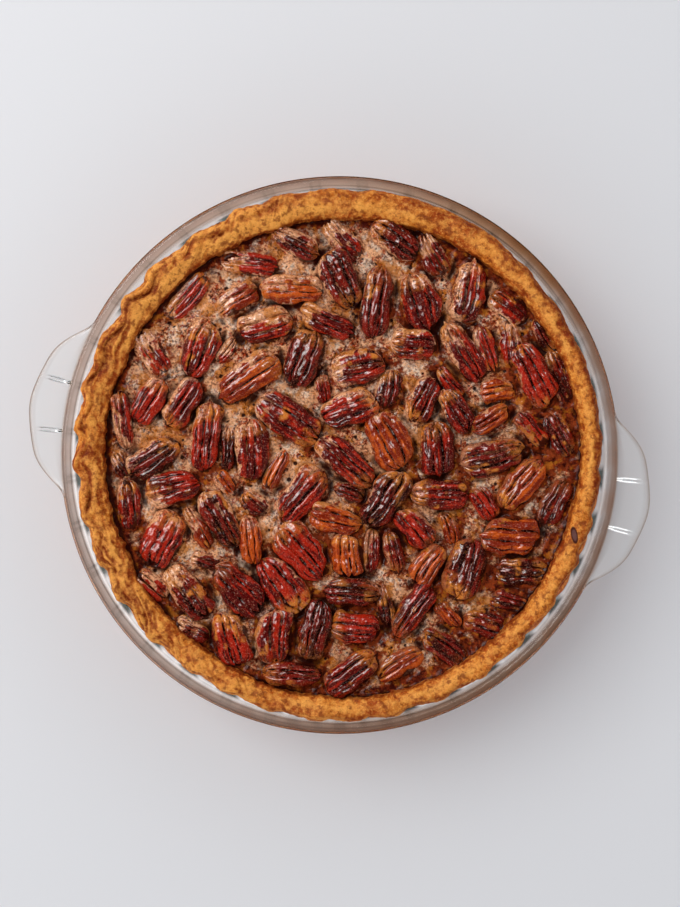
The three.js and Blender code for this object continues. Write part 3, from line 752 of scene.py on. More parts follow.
def glass_masks(points):
    """Where the glass is painted with its brown-grey cast, dark lines and dark wedges, all painted
    refraction, and with white glints, painted highlights.
    """
    radius, height = np.hypot(points[:, 0], points[:, 1]), points[:, 2]
    turn = np.arctan2(points[:, 1], points[:, 0])
    in_pie = turn - PIE_TURN
    out = radius - MOUTH_RADIUS
    high = smoothstep(31, 36, height)
    rim = smoothstep(-0.1, 0.4, out) * smoothstep(PLATE_RADIUS + 0.5, PLATE_RADIUS - 0.2, radius) * high
    rim = rim * around(RIM_PAINTED_REFRACTION, in_pie)
    # At the right only the rim's outer half is painted dark with refraction.
    right = np.clip(np.cos(in_pie), 0, 1) ** 3
    rim = rim * (1 - 0.8 * right * smoothstep(2.6, 0.9, out))
    streak = np.zeros_like(radius)
    for line, (at, width, depths) in enumerate(RIM_REFRACTION_LINES):
        wander = 0.1 * np.sin(3 * turn + 2 * line) + 0.06 * np.sin(7 * turn + line)
        depth = np.clip(around(depths, in_pie), 0, 1) * (1 + 0.2 * np.sin(5 * turn + line))
        streak = streak + depth * bell(out - at - wander, width) * high
    # Painted highlights that glow: the mouth shines, and a thin white line of painted reflection follows
    # the flutes beside the pastry.
    mouth = bell(out + 0.3, 0.42) * smoothstep(36, 40, height) * np.clip(around(MOUTH_PAINTED_GLINT, in_pie), 0, 1)
    off_flute = from_flute_edge(turn)
    beside = bell(out + 1.3 + 2.6 * smoothstep(0.34, 0.0, off_flute), 0.42)
    beside = 0.55 * np.clip(-np.sin(in_pie) + 0.2, 0, 1) * beside * smoothstep(30, 34, height)
    # Between two flutes the wall's inside is painted dark beside the pastry, as refraction of it.
    wedge = smoothstep(0.34, 0.14, off_flute) * smoothstep(-0.7, -1.2, out) * smoothstep(-8, -5, out)
    wedge = wedge * (height > 33) * (radius < wall_radius(height, turn) + WALL_THICKNESS / 2)
    # A handle's edge is painted dark as refraction, with a painted white glint along it. Each rib has two
    # lines, painted white glints at the right and painted dark refraction at the left, and the whole handle
    # a faint glow of painted light.
    reach, past = handle_reach(turn), radius - PLATE_RADIUS
    within = reach - radius
    tab = smoothstep(0.5, 2, reach - PLATE_RADIUS)
    at_right = points[:, 0] > 0
    on_edge = smoothstep(1.0, 0.5, within) * tab * smoothstep(-0.5, 0.5, past)
    edge_glint = np.where(at_right, 0.1, 0.3) * bell(within - 1.5, 0.35) * tab * (past > 0)
    off_rib = np.abs(from_handle(turn) - HANDLE_RIB["angle"]) * radius
    spread = HANDLE_RIB["width"] / 2 * smoothstep(-2, 4, past) * smoothstep(1.2, 5, within) + 0.1
    rib_line = bell(off_rib - spread, 0.24) * smoothstep(0, 0.6, past) * smoothstep(2.8, 4.2, within) * tab
    sheen = np.where(at_right, 0.2, 0.08) * tab * smoothstep(0.5, 2, past) * (height > 40)
    gleam = np.max([mouth, beside, edge_glint, rib_line * at_right, sheen], axis=0)
    rim = np.maximum(rim, 0.9 * on_edge)
    streak = np.max([streak, 0.6 * on_edge, 0.55 * rib_line * ~at_right], axis=0)
    return {"rim": rim, "streak": np.clip(streak, 0, 1), "gleam": np.clip(gleam, 0, 1), "wedge": wedge}


# ---- The pastry ---------------------------------------------------------------------------------


def sway(angle):
    """How a hand-shaped edge wanders in and out round the pie."""
    return 0.5 * np.sin(2 * angle + 0.6) + 0.45 * np.sin(5 * angle + 2.1) + 0.3 * np.sin(9 * angle + 4)


def inner_edge(angle):
    """Radius of the pastry's inner edge, in the pie's frame."""
    return around(CRUST_INNER, angle) + 0.4 * sway(angle + 1)


def scallop(angle):
    """How far the pastry's outer edge stands out or in at an angle of the plate. Each flute's scallop
    falls away one way and comes back quickly, deeply at the left and hardly at the upper right."""
    drift = 0.12 * np.sin(3.7 * angle + 1) + 0.08 * np.sin(11 * angle + 2)
    part = (angle / TAU * FLUTES + 0.6 + drift) % 1
    steep = 0.3
    wave = np.where(part > steep, (part - steep) / (1 - steep), 1 - part / steep)
    wave = smoothstep(0, 1, wave) * 0.6 + wave * 0.4
    return around(CRUST_SCALLOPS, angle) * (wave - 0.62)


def pastry_rings(sizes):
    """The pastry case before it is roughened: rings of points from its bottom over its edge to the pastry
    under the filling, how far over the edge each ring lies, from 0 outside to 1 inside, and the fold that
    runs along the edge: how much it shows, where over the edge, and how deep."""
    angle = np.linspace(0, TAU, sizes.steps, endpoint=False)
    in_plate = angle + PIE_TURN
    on_edge = polar(130, angle, 0)
    wander = 0.45 * noise(on_edge, 14, 3, 2) + 0.3 * noise(on_edge, 3.5, 4, 2)
    outer = CRUST_OUTER + around(CRUST_REACH, angle) + scallop(in_plate) + 0.3 * sway(angle) + wander
    outer = np.minimum(outer, MOUTH_RADIUS - 0.25)
    inner = inner_edge(angle) + 0.6 * noise(on_edge, 9, 5, 2) + 0.4 * noise(on_edge, 2.6, 6, 2)
    crest = CRUST_TOP - 1.0 + 0.6 * noise(on_edge, 20, 7)
    folded = smoothstep(0.05, -0.8, np.cos(angle + 0.17))
    fold_at = 0.38 + 0.07 * folded * np.cos(in_plate * FLUTES + 0.9) + 0.1 * noise(on_edge, 17, 31, 2)
    fold_depth = folded * np.clip(0.75 + 0.9 * noise(on_edge, 8, 33, 2), 0, 1.5)
    rings, places = [], []

    def ring(radius, height, across):
        rings.append(polar(radius, angle, height))
        places.append(float(across))

    def wall(height):
        return wall_radius(height, in_plate) - 0.35

    for radius in (30, 70, wall(FLOOR_THICKNESS) - 3.6):
        ring(radius, CRUST_BOTTOM, -1)
    ring(wall(FLOOR_THICKNESS) - 1.2, CRUST_BOTTOM + 1, -1)
    for height in np.linspace(FLOOR_THICKNESS + 3, WALL_TOP, sizes.wall_rings):
        ring(wall(height), height, -1)
    shoulder_foot = PLATE_HEIGHT - 0.5
    for share in np.linspace(0.15, 1, 6):
        height = WALL_TOP + (shoulder_foot - WALL_TOP) * share
        ring(wall(WALL_TOP) + (outer - wall(WALL_TOP)) * share, height, -0.5 + 0.4 * share)
    # Over the top, from the outer face to the inner edge.
    for across in np.linspace(0, 1, sizes.top_rings):
        shoulder = 1 - (1 - min(across / 0.3, 1)) ** 2.1
        fall = max(0, (across - 0.4) / 0.6)
        dome = shoulder_foot + (crest - shoulder_foot) * shoulder - 3.0 * fall**2.4
        fold = 1.3 * (fold_depth * bell(across - fold_at, 0.075))
        ring(outer - (outer - inner) * across * (0.94 + 0.06 * across), dome - fold, across)
    for drop in np.linspace(0.12, 1, 9):
        ring(inner - 1.9 * drop**0.7, crest - 3.0 + (FILLING_TOP - 2.5 - (crest - 3.0)) * drop, 1 + drop)
    ring(wall(10) - 6, 12, 3)
    for radius in (wall(FLOOR_THICKNESS) - 12, 60, 20):
        ring(radius, CRUST_FLOOR, 3)
    return np.array(rings), np.array(places), (folded, fold_at, fold_depth)


def flakes_along(points, across, folded, spread):
    """How high the flakes stand, from about 0 to 1. Where the edge is folded, their grain follows it. The
    unrolled edge has a cut, so two unrollings that are cut at opposite places are blended."""
    turn = np.arctan2(points[:, 1], points[:, 0])
    cut = smoothstep(0.6, -0.6, np.cos(turn))
    inwards = 10.5 * across + (0.6 * (1 - folded)) * np.hypot(points[:, 0], points[:, 1])
    radius, apart = 115, 900  # at which the edge is unrolled, and how far apart the two unrollings lie
    first, second = (
        noise(np.stack([along, inwards + spread - 0.1 * along, points[:, 2]], axis=-1), FLAKE_GRAIN, 13, 2)
        for along in (turn * radius, (turn % TAU) * radius + apart)
    )
    return 1 - 1.6 * np.abs((1 - cut) * first + cut * second)


def pastry_mesh(sizes):
    """The pastry case as one closed body, and masks for how each place is baked."""
    rings, places, fold = pastry_rings(sizes)
    points = rings.reshape(-1, 3)
    across = np.repeat(places, sizes.steps)
    folded, fold_at, fold_depth = (np.tile(values, len(rings)) for values in fold)
    turn = np.arctan2(points[:, 1], points[:, 0])
    # Lumps, flakes and crumb, on the part that was open to the oven.
    shown = smoothstep(-0.5, 0.05, across) * smoothstep(2.4, 1.6, across)
    lumps = noise(points, 8, 11, 2)
    flakes = flakes_along(points, across, folded, 0.5 * lumps)
    knobs = noise(points, 3.6, 17, 2)
    crumb = noise(points, 1.6, 19, 2)
    flaky = (0.35 + 0.45 * smoothstep(0.75, 0.2, across)) * (0.45 + 0.55 * folded)
    lift = shown * (0.6 * lumps + flaky * (flakes - 0.5) + 0.4 * knobs + 0.34 * crumb)
    outwards = polar(1, turn, 0)
    tilt = np.clip(1 - across * 1.6, -1, 1)  # outwards on the outer face, inwards on the inner one
    points = points + outwards * (lift * tilt * 0.5)[:, None]
    points[:, 2] += lift * (1 - 0.5 * np.abs(tilt))
    limit = (MOUTH_RADIUS - 0.2) / np.maximum(np.hypot(points[:, 0], points[:, 1]), 1)
    points[:, :2] *= np.minimum(limit, 1)[:, None]
    # The flakes on the rim lie above the glass.
    above = smoothstep(0.02, 0.12, across) * smoothstep(0.75, 0.3, across)
    above = above * smoothstep(PLATE_HEIGHT + 0.1, PLATE_HEIGHT + 0.8, points[:, 2])
    for heading, half_angle, far in CRUST_FLAPS:
        points += outwards * (far * above * bell(angle_from(heading, turn), half_angle))[:, None]
    points[:, 2] = np.minimum(points[:, 2], CRUST_TOP)
    closed, faces = lathe(points.reshape(rings.shape))

    # Masks. The fold's crease, the outer side and the inner edge are darker, browning and painted shade,
    # and what lies between is paler, partly painted highlight.
    fold_line = bell(across - fold_at, 0.13) * fold_depth
    patches = noise(points, (15, 15, 30), 23, 3)
    outer_band = bell(across - 0.18, 0.2)
    inner_band = smoothstep(0.93, 1.2, across + 0.08 * noise(points, 3, 27, 2))
    # The outer side is painted darker or paler by how it faces the light.
    side_shade = around(CRUST_SIDE_SHADE, turn)
    sheltered = bell(angle_from(PALE_INSIDE[0], turn), PALE_INSIDE[1]) * bell(across - 0.8, 0.2)
    browned = 0.75 * fold_line + outer_band * (0.1 + np.maximum(side_shade, 0) + 0.5 * patches) + 0.9 * inner_band
    browned = browned - 0.35 * sheltered
    # Crumb and knobs that stand up are painted paler and the flakes' hollows darker: painted light and
    # shade.
    raised = 0.16 * crumb + 0.14 * knobs
    flaked = 0.3 + 0.4 * folded
    browned = browned + (flaked * smoothstep(0.0, 0.6, 0.5 - flakes) - raised) * shown
    # The pale band over the inner top is partly a painted highlight.
    pale = bell(across - 0.66, 0.24) * (0.62 + 0.6 * patches) + flaked * (flakes - 0.5) + raised
    pale = pale + np.maximum(-side_shade, 0) * outer_band + 0.9 * sheltered
    masks = {"browned": browned, "pale": pale, "scorch": scorched(points)}
    masks = {key: np.append(np.clip(values, 0, 1), [0, 0]) for key, values in masks.items()}
    return closed, faces, masks


def scorched(points):
    """How burnt the pastry is at points: most in the middle of each burnt spot."""
    scorch = np.zeros(len(points))
    for x, y, half_width, half_length, heading in SCORCHES:
        cos, sin = math.cos(heading), math.sin(heading)
        dx, dy = points[:, 0] - x, points[:, 1] - y
        away = np.hypot((dx * cos + dy * sin) / half_length, (dy * cos - dx * sin) / half_width)
        scorch = np.maximum(scorch, smoothstep(1.2, 0.3, away))
    return scorch * smoothstep(PLATE_HEIGHT - 0.5, PLATE_HEIGHT + 0.5, points[:, 2])


# ---- The pecans ---------------------------------------------------------------------------------


class Half:
    """One pecan half: where its middle lies, in the pie's frame, its heading, length and width, how brown
    it is and how far the filling covers it."""

    def __init__(self, x, y, heading, length, width, tone, cover=0.0):
        self.x, self.y, self.heading = x, y, heading
        self.length, self.width = length, width
        self.tone, self.cover = tone, cover

    def local(self, points):
        """Points as seen along and across the half."""
        cos, sin = math.cos(self.heading), math.sin(self.heading)
        x, y = points[:, 0] - self.x, points[:, 1] - self.y
        return x * cos + y * sin, y * cos - x * sin

    def clearance(self, points):
        """About how far points are from the half's outline, and less than 0 inside it."""
        along, across = self.local(points)
        a, b = self.length / 2, self.width / 2
        q = np.sqrt((along / a) ** 2 + (across / b) ** 2) + 1e-6
        slope = np.sqrt((along / a**2) ** 2 + (across / b**2) ** 2) / q + 1e-6
        return (q - 1) / slope


def standing_halves():
    """The whole halves, read from their CAD nodes: the node's name and the half."""
    tones = {row["node"]: row["material_slot"] for row in frame["record"]["subparts"]}
    found = []
    for name in sorted(n for n in frame["nodes"] if n.startswith("pecan_")):
        points = np.array([v.co for v in frame["nodes"][name].data.vertices]) / MM
        cos, sin = math.cos(-PIE_TURN), math.sin(-PIE_TURN)
        x, y = points[:, 0], points[:, 1]
        flat = np.stack([x * cos - y * sin, x * sin + y * cos], axis=-1)
        middle = (flat.max(axis=0) + flat.min(axis=0)) / 2
        spread = np.cov((flat - middle).T)
        heading = 0.5 * math.atan2(2 * spread[0, 1], spread[0, 0] - spread[1, 1])
        axis = np.array([math.cos(heading), math.sin(heading)])
        side = np.array([-axis[1], axis[0]])
        along, across = (flat - middle) @ axis, (flat - middle) @ side
        middle = middle + axis * (along.max() + along.min()) / 2
        middle = middle + side * (across.max() + across.min()) / 2
        tone = tones[name].replace("pecan_", "")
        found.append((name, Half(*middle, heading, 1.03 * np.ptp(along), 1.06 * np.ptp(across), tone)))
    return found


def sunken_halves():
    """The halves that the filling covers, from their table."""
    return [Half(x, y, math.radians(turn), *rest) for x, y, turn, *rest in SUNKEN]


def groove(offset, width):
    """A narrow valley: 1 along its middle line, with steep sides."""
    return np.exp(-(np.abs(offset / width) ** 1.5))


class Kernel:
    """The shape of one pecan half. T runs along it and V across it, both from -1 to 1; X, Y and Z are its
    points in millimetres. Two deep furrows run along it on both sides of a middle ridge, with shallower
    ones beside them, and its sides are wrinkled."""

    def __init__(self, half, sizes, seed, rise, fine):
        self.half, self.seed, self.rise = half, seed, rise
        self.rng = random.Random(seed)
        self.split = self.rng.uniform(0.24, 0.36)  # how far out the deep furrows lie
        counts = (sizes.stations, sizes.over, sizes.under)
        stations, over, under = (max(3, round(count * fine)) for count in counts)
        even = np.linspace(-1, 1, stations + 2)[1:-1]
        t = 0.5 * np.sin(even * math.pi / 2) + 0.5 * even
        t = t / (abs(t[0]) + 0.004)
        low_across = -np.cos(math.pi * np.linspace(0, 1, under + 2)[1:-1])
        across = np.concatenate([self.crowded(over), low_across])
        self.T, self.V = np.meshgrid(t, across, indexing="ij")
        self.top = np.broadcast_to(np.arange(len(across)) < over, self.T.shape)
        self.lay_out()
        self.cut_ridges()
        self.raise_top()

    def crowded(self, count):
        """Places across the top, which crowd together at the furrows and at the steep sides."""
        place = np.linspace(-1, 1, 500)
        out = np.abs(place)
        crowd = 1 + 1.7 * bell(out - self.split, 0.1) + 0.8 * smoothstep(0.8, 1, out)
        crowd = crowd + 0.9 * bell(out - 0.68, 0.1) + 0.5 * bell(place, 0.06)
        share = np.cumsum(crowd) - crowd[0]
        return -np.interp(np.linspace(0, 1, count), share / share[-1], place)

    def along(self, size, offset, octaves=1):
        """Noise that changes along the half only."""
        line = self.T.ravel() * self.half.length / 2 + offset + self.seed * 37.0
        line = np.stack([line, 0 * line, 0 * line], axis=-1)
        return noise(line, size, self.seed, octaves).reshape(self.T.shape)

    def skin(self, size, shift, octaves=1):
        """Noise over the half's skin, with lumps of a length and a width."""
        flat = [self.X.ravel() + self.seed * 37.0, self.Y.ravel(), np.zeros(self.X.size)]
        lumps = noise(np.stack(flat, axis=-1), (*size, 1), self.seed + shift, octaves)
        return lumps.reshape(self.T.shape)

    def lay_out(self):
        """The outline: blunt at both ends, a little narrower at one, and uneven. Its lobes end apart."""
        half, rng, split, T, V = self.half, self.rng, self.split, self.T, self.V
        full = np.clip(1 - np.abs(T) ** rng.uniform(3.4, 6.2), 0, 1) ** rng.uniform(0.42, 0.5)
        uneven = np.where(V > 0, self.along(5.5, 0, 2), self.along(5.5, 300, 2))
        wide = half.width / 2 * full * (1 + 0.14 * uneven) * (1 + rng.uniform(-0.13, 0.13) * T)
        self.Y = wide * V + rng.uniform(-0.9, 0.9) * (0.45 - T * T)
        claw = np.where(T > 0, rng.choice((0.02, 0.1, 0.17)), rng.choice((0.02, 0.06, 0.14)))
        notch = claw * groove(np.abs(V) - split, 0.17) * smoothstep(0.5, 0.95, np.abs(T))
        stagger = np.zeros_like(T)
        for end in (-1, 1):
            ends = np.array([rng.uniform(0, 0.16) for _ in range(3)])
            ends = ends - ends.min()
            past_first = smoothstep(-split - 0.07, -split + 0.07, V)
            past_second = smoothstep(split - 0.07, split + 0.07, V)
            back = ends[0] + (ends[1] - ends[0]) * past_first + (ends[2] - ends[1]) * past_second
            stagger = stagger + back * smoothstep(0.3, 1, end * T)
        self.X = half.length / 2 * T * (1 - notch - stagger) + rng.uniform(-0.18, 0.18) * self.Y

    def cut_ridges(self):
        """The crown, from 0 at the sides to 1, and the furrows that part it in ridges. W is V on the crown,
        which leans."""
        rng, split, T, V = self.rng, self.split, self.T, self.V
        lean = rng.uniform(-0.12, 0.12) + 0.04 * self.along(8, 600)
        self.W = W = V - lean * (1 - V * V)
        crown = np.clip(1 - np.abs(V) ** 2.7, 0, 1) ** 0.55
        crown = crown * (1 - rng.uniform(0, 0.16) * np.exp(-((W / split) ** 4)))
        furrow = np.zeros_like(T)
        through = smoothstep(0.86, 1.0, np.abs(T))
        for side, shift in ((-1, 0), (1, 500)):
            line = split + 0.03 * self.along(7, 900 + shift) + 0.01 * self.along(2.2, 1000 + shift)
            fades = rng.choice((-1, 1)) * T
            reach = smoothstep(1.05, rng.uniform(0.3, 0.9), fades)
            reach = reach * (0.85 + 0.75 * self.along(3, 1500 + shift, 2))
            reach = np.clip(np.maximum(reach, 0.6 * through), 0, 1.15)
            depth = rng.uniform(0.26, 0.46)
            cut = reach * groove(W - side * line, rng.uniform(0.042, 0.068))
            crown = crown - depth * cut - rng.uniform(0.08, 0.22) * bell(W - side * line, 0.16)
            furrow = np.maximum(furrow, np.clip(cut, 0, 1))
            # A shallower furrow on the lobe, broken in places.
            line = rng.uniform(0.6, 0.76) + 0.05 * self.along(6, 2100 + shift)
            cut = np.clip(0.35 + 0.95 * self.along(4.5, 2500 + shift), 0, 1)
            cut = cut * groove(W - side * line, 0.05)
            crown = crown - 0.2 * cut
            furrow = np.maximum(furrow, 0.8 * cut)
        # A fine furrow down the middle ridge.
        middle = np.clip(rng.uniform(-0.2, 0.6) + self.along(4, 3300), 0, 1)
        middle = middle * groove(W - 0.04 * self.along(4, 3600), 0.04)
        self.crown = crown - 0.13 * middle
        furrow = np.maximum(furrow, 0.7 * middle)
        self.furrow = np.clip(furrow, 0, 1) * self.top * smoothstep(1.0, 0.93, np.abs(T))

    def raise_top(self):
        """The height, over the lowest point, and the wrinkles of the skin."""
        T, V, top = self.T, self.V, self.top
        arch = np.clip(1 - np.abs(T) ** 4.2, 0, 1) ** 0.5
        belly = KERNEL_EDGE * (1 - np.sqrt(np.clip(1 - V * V, 0, 1)))
        crown = KERNEL_EDGE + (1 - KERNEL_EDGE) * np.clip(self.crown, 0, 1.05)
        Z = self.rise * np.where(top, crown, belly)
        Z = Z * (0.25 + 0.75 * arch)
        sides = smoothstep(0.3, 0.75, np.abs(self.W))
        self.comb = self.skin((1.15, 3.4), 13, 2)
        relief = 0.3 * self.skin((7, 1.5), 5, 2) + 0.24 * self.skin((1.6, 1.1), 6, 2)
        relief = relief + 0.3 * self.skin((5, 5), 7) + 0.4 * sides * (0.45 - np.abs(self.comb))
        relief = relief + self.rng.choice((0, 0.15, 0.3)) * self.skin((1.7, 4.5), 11)
        Z = Z + relief * top * arch * min(1, self.rise / 5)
        self.Z = Z + self.rng.uniform(-0.5, 0.5) * T * top

    def masks(self):
        """Where the skin is furrowed, paler, under froth, streaked, painted dark at its foot as shade,
        darker as a whole, or toasted.
        """
        half, rng, T, V = self.half, self.rng, self.T, self.V
        high = self.Z / self.rise
        # Froth lies on the lower flanks, more on each half's upper-left side, toward the light, where the
        # pale film is partly a painted sheen.
        covered = 0.3 * self.skin((3.4, 2.6), 8, 2) + 0.16 * self.comb
        heading = rng.gauss(math.radians(135), 0.6) - half.heading
        covered = covered + rng.uniform(0.3, 0.8) * (math.cos(heading) * T + math.sin(heading) * V)
        # The film reaches highest on the halves at the upper left, toward the light: partly a painted
        # sheen.
        reach = rng.choice((0.07, 0.22, 0.37, 0.55)) + 0.7 * half.cover
        reach = reach + 0.16 * np.clip((half.y - half.x) / 100, -1, 1)
        cover = smoothstep(reach + 0.3, reach - 0.25, high - covered)
        at_ends = smoothstep(0.75, 1.0, np.abs(T) + covered)
        cover = np.maximum(cover, rng.uniform(0.1, 0.6) * at_ends)
        # A dark foot on the low flanks where the half meets the filling: painted shade.
        foot = smoothstep(0.42, 0.2, high + 0.3 * self.skin((5, 5), 17)) * smoothstep(0.1, -0.3, covered)
        foot = foot * (1 - cover) ** 2 * (half.cover == 0)
        streak = 0.5 + 0.5 * self.skin((8, 0.9), 9, 2)
        tipped = smoothstep(0.3, 0.95, T * rng.choice((-1, 1)) + 0.5 * covered)
        tipped = tipped * rng.choice((0.2, 0.5, 0.8, 1))
        spots = smoothstep(0.5, 0.8, self.skin((4, 3), 10)) * rng.choice((0, 0, 0.5, 0.9))
        tipped = np.maximum(tipped, spots)
        masks = {"furrow": self.furrow, "tip": tipped, "cover": cover, "streak": streak, "foot": foot}
        masks = {key: np.clip(values.ravel(), 0, 1) for key, values in masks.items()}
        masks = {key: np.append(values, [0.5, 0.5]) for key, values in masks.items()}
        count = T.size + 2
        masks["shade"] = np.full(count, rng.uniform(0, 0.55))
        masks["toasted"] = np.full(count, 0.85 * float(smoothstep(10, 70, 0.7 * (half.x - half.y))))
        return masks

    def placed(self, base):
        """The points in the pie's frame, rolled a little and lifted by base, with one more at each end."""
        half = self.half
        low, far = self.rise * KERNEL_EDGE, half.length / 2
        tips = [[-far, self.Y[0].mean(), low], [far, self.Y[-1].mean(), low]]
        points = np.concatenate([np.stack([self.X, self.Y, self.Z], axis=-1).reshape(-1, 3), tips])
        roll = math.radians(self.rng.uniform(-9, 9))
        x, y, z = points.T
        y, z = y * math.cos(roll) - z * math.sin(roll) * 0.5, y * math.sin(roll) * 0.6 + z * math.cos(roll)
        cos, sin = math.cos(half.heading), math.sin(half.heading)
        return np.stack([half.x + x * cos - y * sin, half.y + x * sin + y * cos, base + z], axis=-1)

    def faces(self):
        """Quads over the grid of points, and a fan to the point at each end."""
        stations, ring = self.T.shape
        column = np.arange(ring)
        following = (column + 1) % ring
        first, last = self.T.size, self.T.size + 1
        end_row = (stations - 1) * ring
        faces = grid_faces(stations, ring, wrap_columns=True).tolist()
        faces += np.stack([np.full(ring, first), following, column], axis=-1).tolist()
        faces += np.stack([np.full(ring, last), end_row + column, end_row + following], axis=-1).tolist()
        return faces


def kernel_points(half, sizes, seed, base, rise, fine=1.0):
    """A pecan half's points in the pie's frame, from a height base up, its faces and its masks."""
    kernel = Kernel(half, sizes, seed, rise, fine)
    masks = kernel.masks()
    return kernel.placed(base), kernel.faces(), masks


# ---- The filling --------------------------------------------------------------------------------


def disc_grid(count):
    """Points of an even grid on the unit disc, in rows, from the squares of a square."""
    line = np.linspace(-1, 1, count)
    a, b = np.meshgrid(line, line, indexing="ij")
    wide = np.abs(a) > np.abs(b)
    radius = np.where(wide, a, b)
    safe = np.where(radius == 0, 1, radius)
    turn = np.where(wide, math.pi / 4 * b / safe, math.pi / 2 - math.pi / 4 * a / safe)
    return radius * np.cos(turn), radius * np.sin(turn)


def gaps_to_halves(flat, halves):
    """How far points are from the nearest half, and from the second nearest. The nearest half counts as up
    to 1.4 mm farther on its upper left, so that the painted shadow beside it lies on its lower right, and
    half a millimetre farther when it is a sunken one."""
    near_standing, near_sunken = np.full(len(flat), FAR), np.full(len(flat), FAR)
    nearest, second = near_standing.copy(), near_standing.copy()
    for half in halves:
        close = np.hypot(flat[:, 0] - half.x, flat[:, 1] - half.y) < half.length / 2 + 6
        gap = half.clearance(flat[close])
        second[close] = np.minimum(second[close], np.maximum(nearest[close], gap))
        nearest[close] = np.minimum(nearest[close], gap)
        away = (flat[close, 0] - half.x) * 0.7 - (flat[close, 1] - half.y) * 0.7
        gap = gap + 1.4 * smoothstep(0.35, -0.35, away / (np.abs(gap) + half.width / 2))
        target = near_sunken if half.cover > 0 else near_standing
        target[close] = np.minimum(target[close], gap)
    return np.minimum(near_standing, near_sunken + 0.5), second


def gaps_to_pinholes(flat, count):
    """How far points are from the nearest of count burst bubbles, scattered by a seeded rule."""
    rng = random.Random(PINHOLES_SEED)
    nearest = np.full(len(flat), PIT_FAR)
    for _ in range(count):
        away, heading = PINHOLES_REACH * math.sqrt(rng.random()), TAU * rng.random()
        x, y, size = away * math.cos(heading), away * math.sin(heading), 0.25 + 0.8 * rng.random() ** 2.5
        close = (np.abs(flat[:, 0] - x) < 4) & (np.abs(flat[:, 1] - y) < 4)
        gap = np.hypot(flat[close, 0] - x, flat[close, 1] - y) - size
        nearest[close] = np.minimum(nearest[close], gap)
    return nearest


def filling_body(top, n):
    """Closes the filling's top, a grid of n by n points, with sides and an underside that follow the
    pastry. Returns all points, the top's first, and the faces."""
    rim = [i * n for i in range(n)] + [(n - 1) * n + j for j in range(1, n)]
    rim = rim + [i * n + n - 1 for i in range(n - 2, -1, -1)] + list(range(n - 2, 0, -1))
    upper = np.array(rim)
    turn = np.arctan2(top[upper, 1], top[upper, 0])
    in_plate = turn + PIE_TURN
    levels = (
        (FILLING_TOP - 2.5, inner_edge(turn) - 2.3),
        (12.6, wall_radius(10, in_plate) - 6.8),
        (CRUST_FLOOR + 0.5, wall_radius(FLOOR_THICKNESS, in_plate) - 13),
    )
    points, faces = top, grid_faces(n, n).tolist()
    for level, radius in levels:
        lower = len(points) + np.arange(len(upper))
        points = np.concatenate([points, polar(radius, turn, level)])
        faces += np.stack([upper, np.roll(upper, -1), np.roll(lower, -1), lower], axis=-1).tolist()
        upper = lower
    middle = np.full(len(upper), len(points))
    faces += np.stack([upper, np.roll(upper, -1), middle], axis=-1).tolist()
    return np.concatenate([points, [[0, 0, CRUST_FLOOR + 0.5]]]), faces


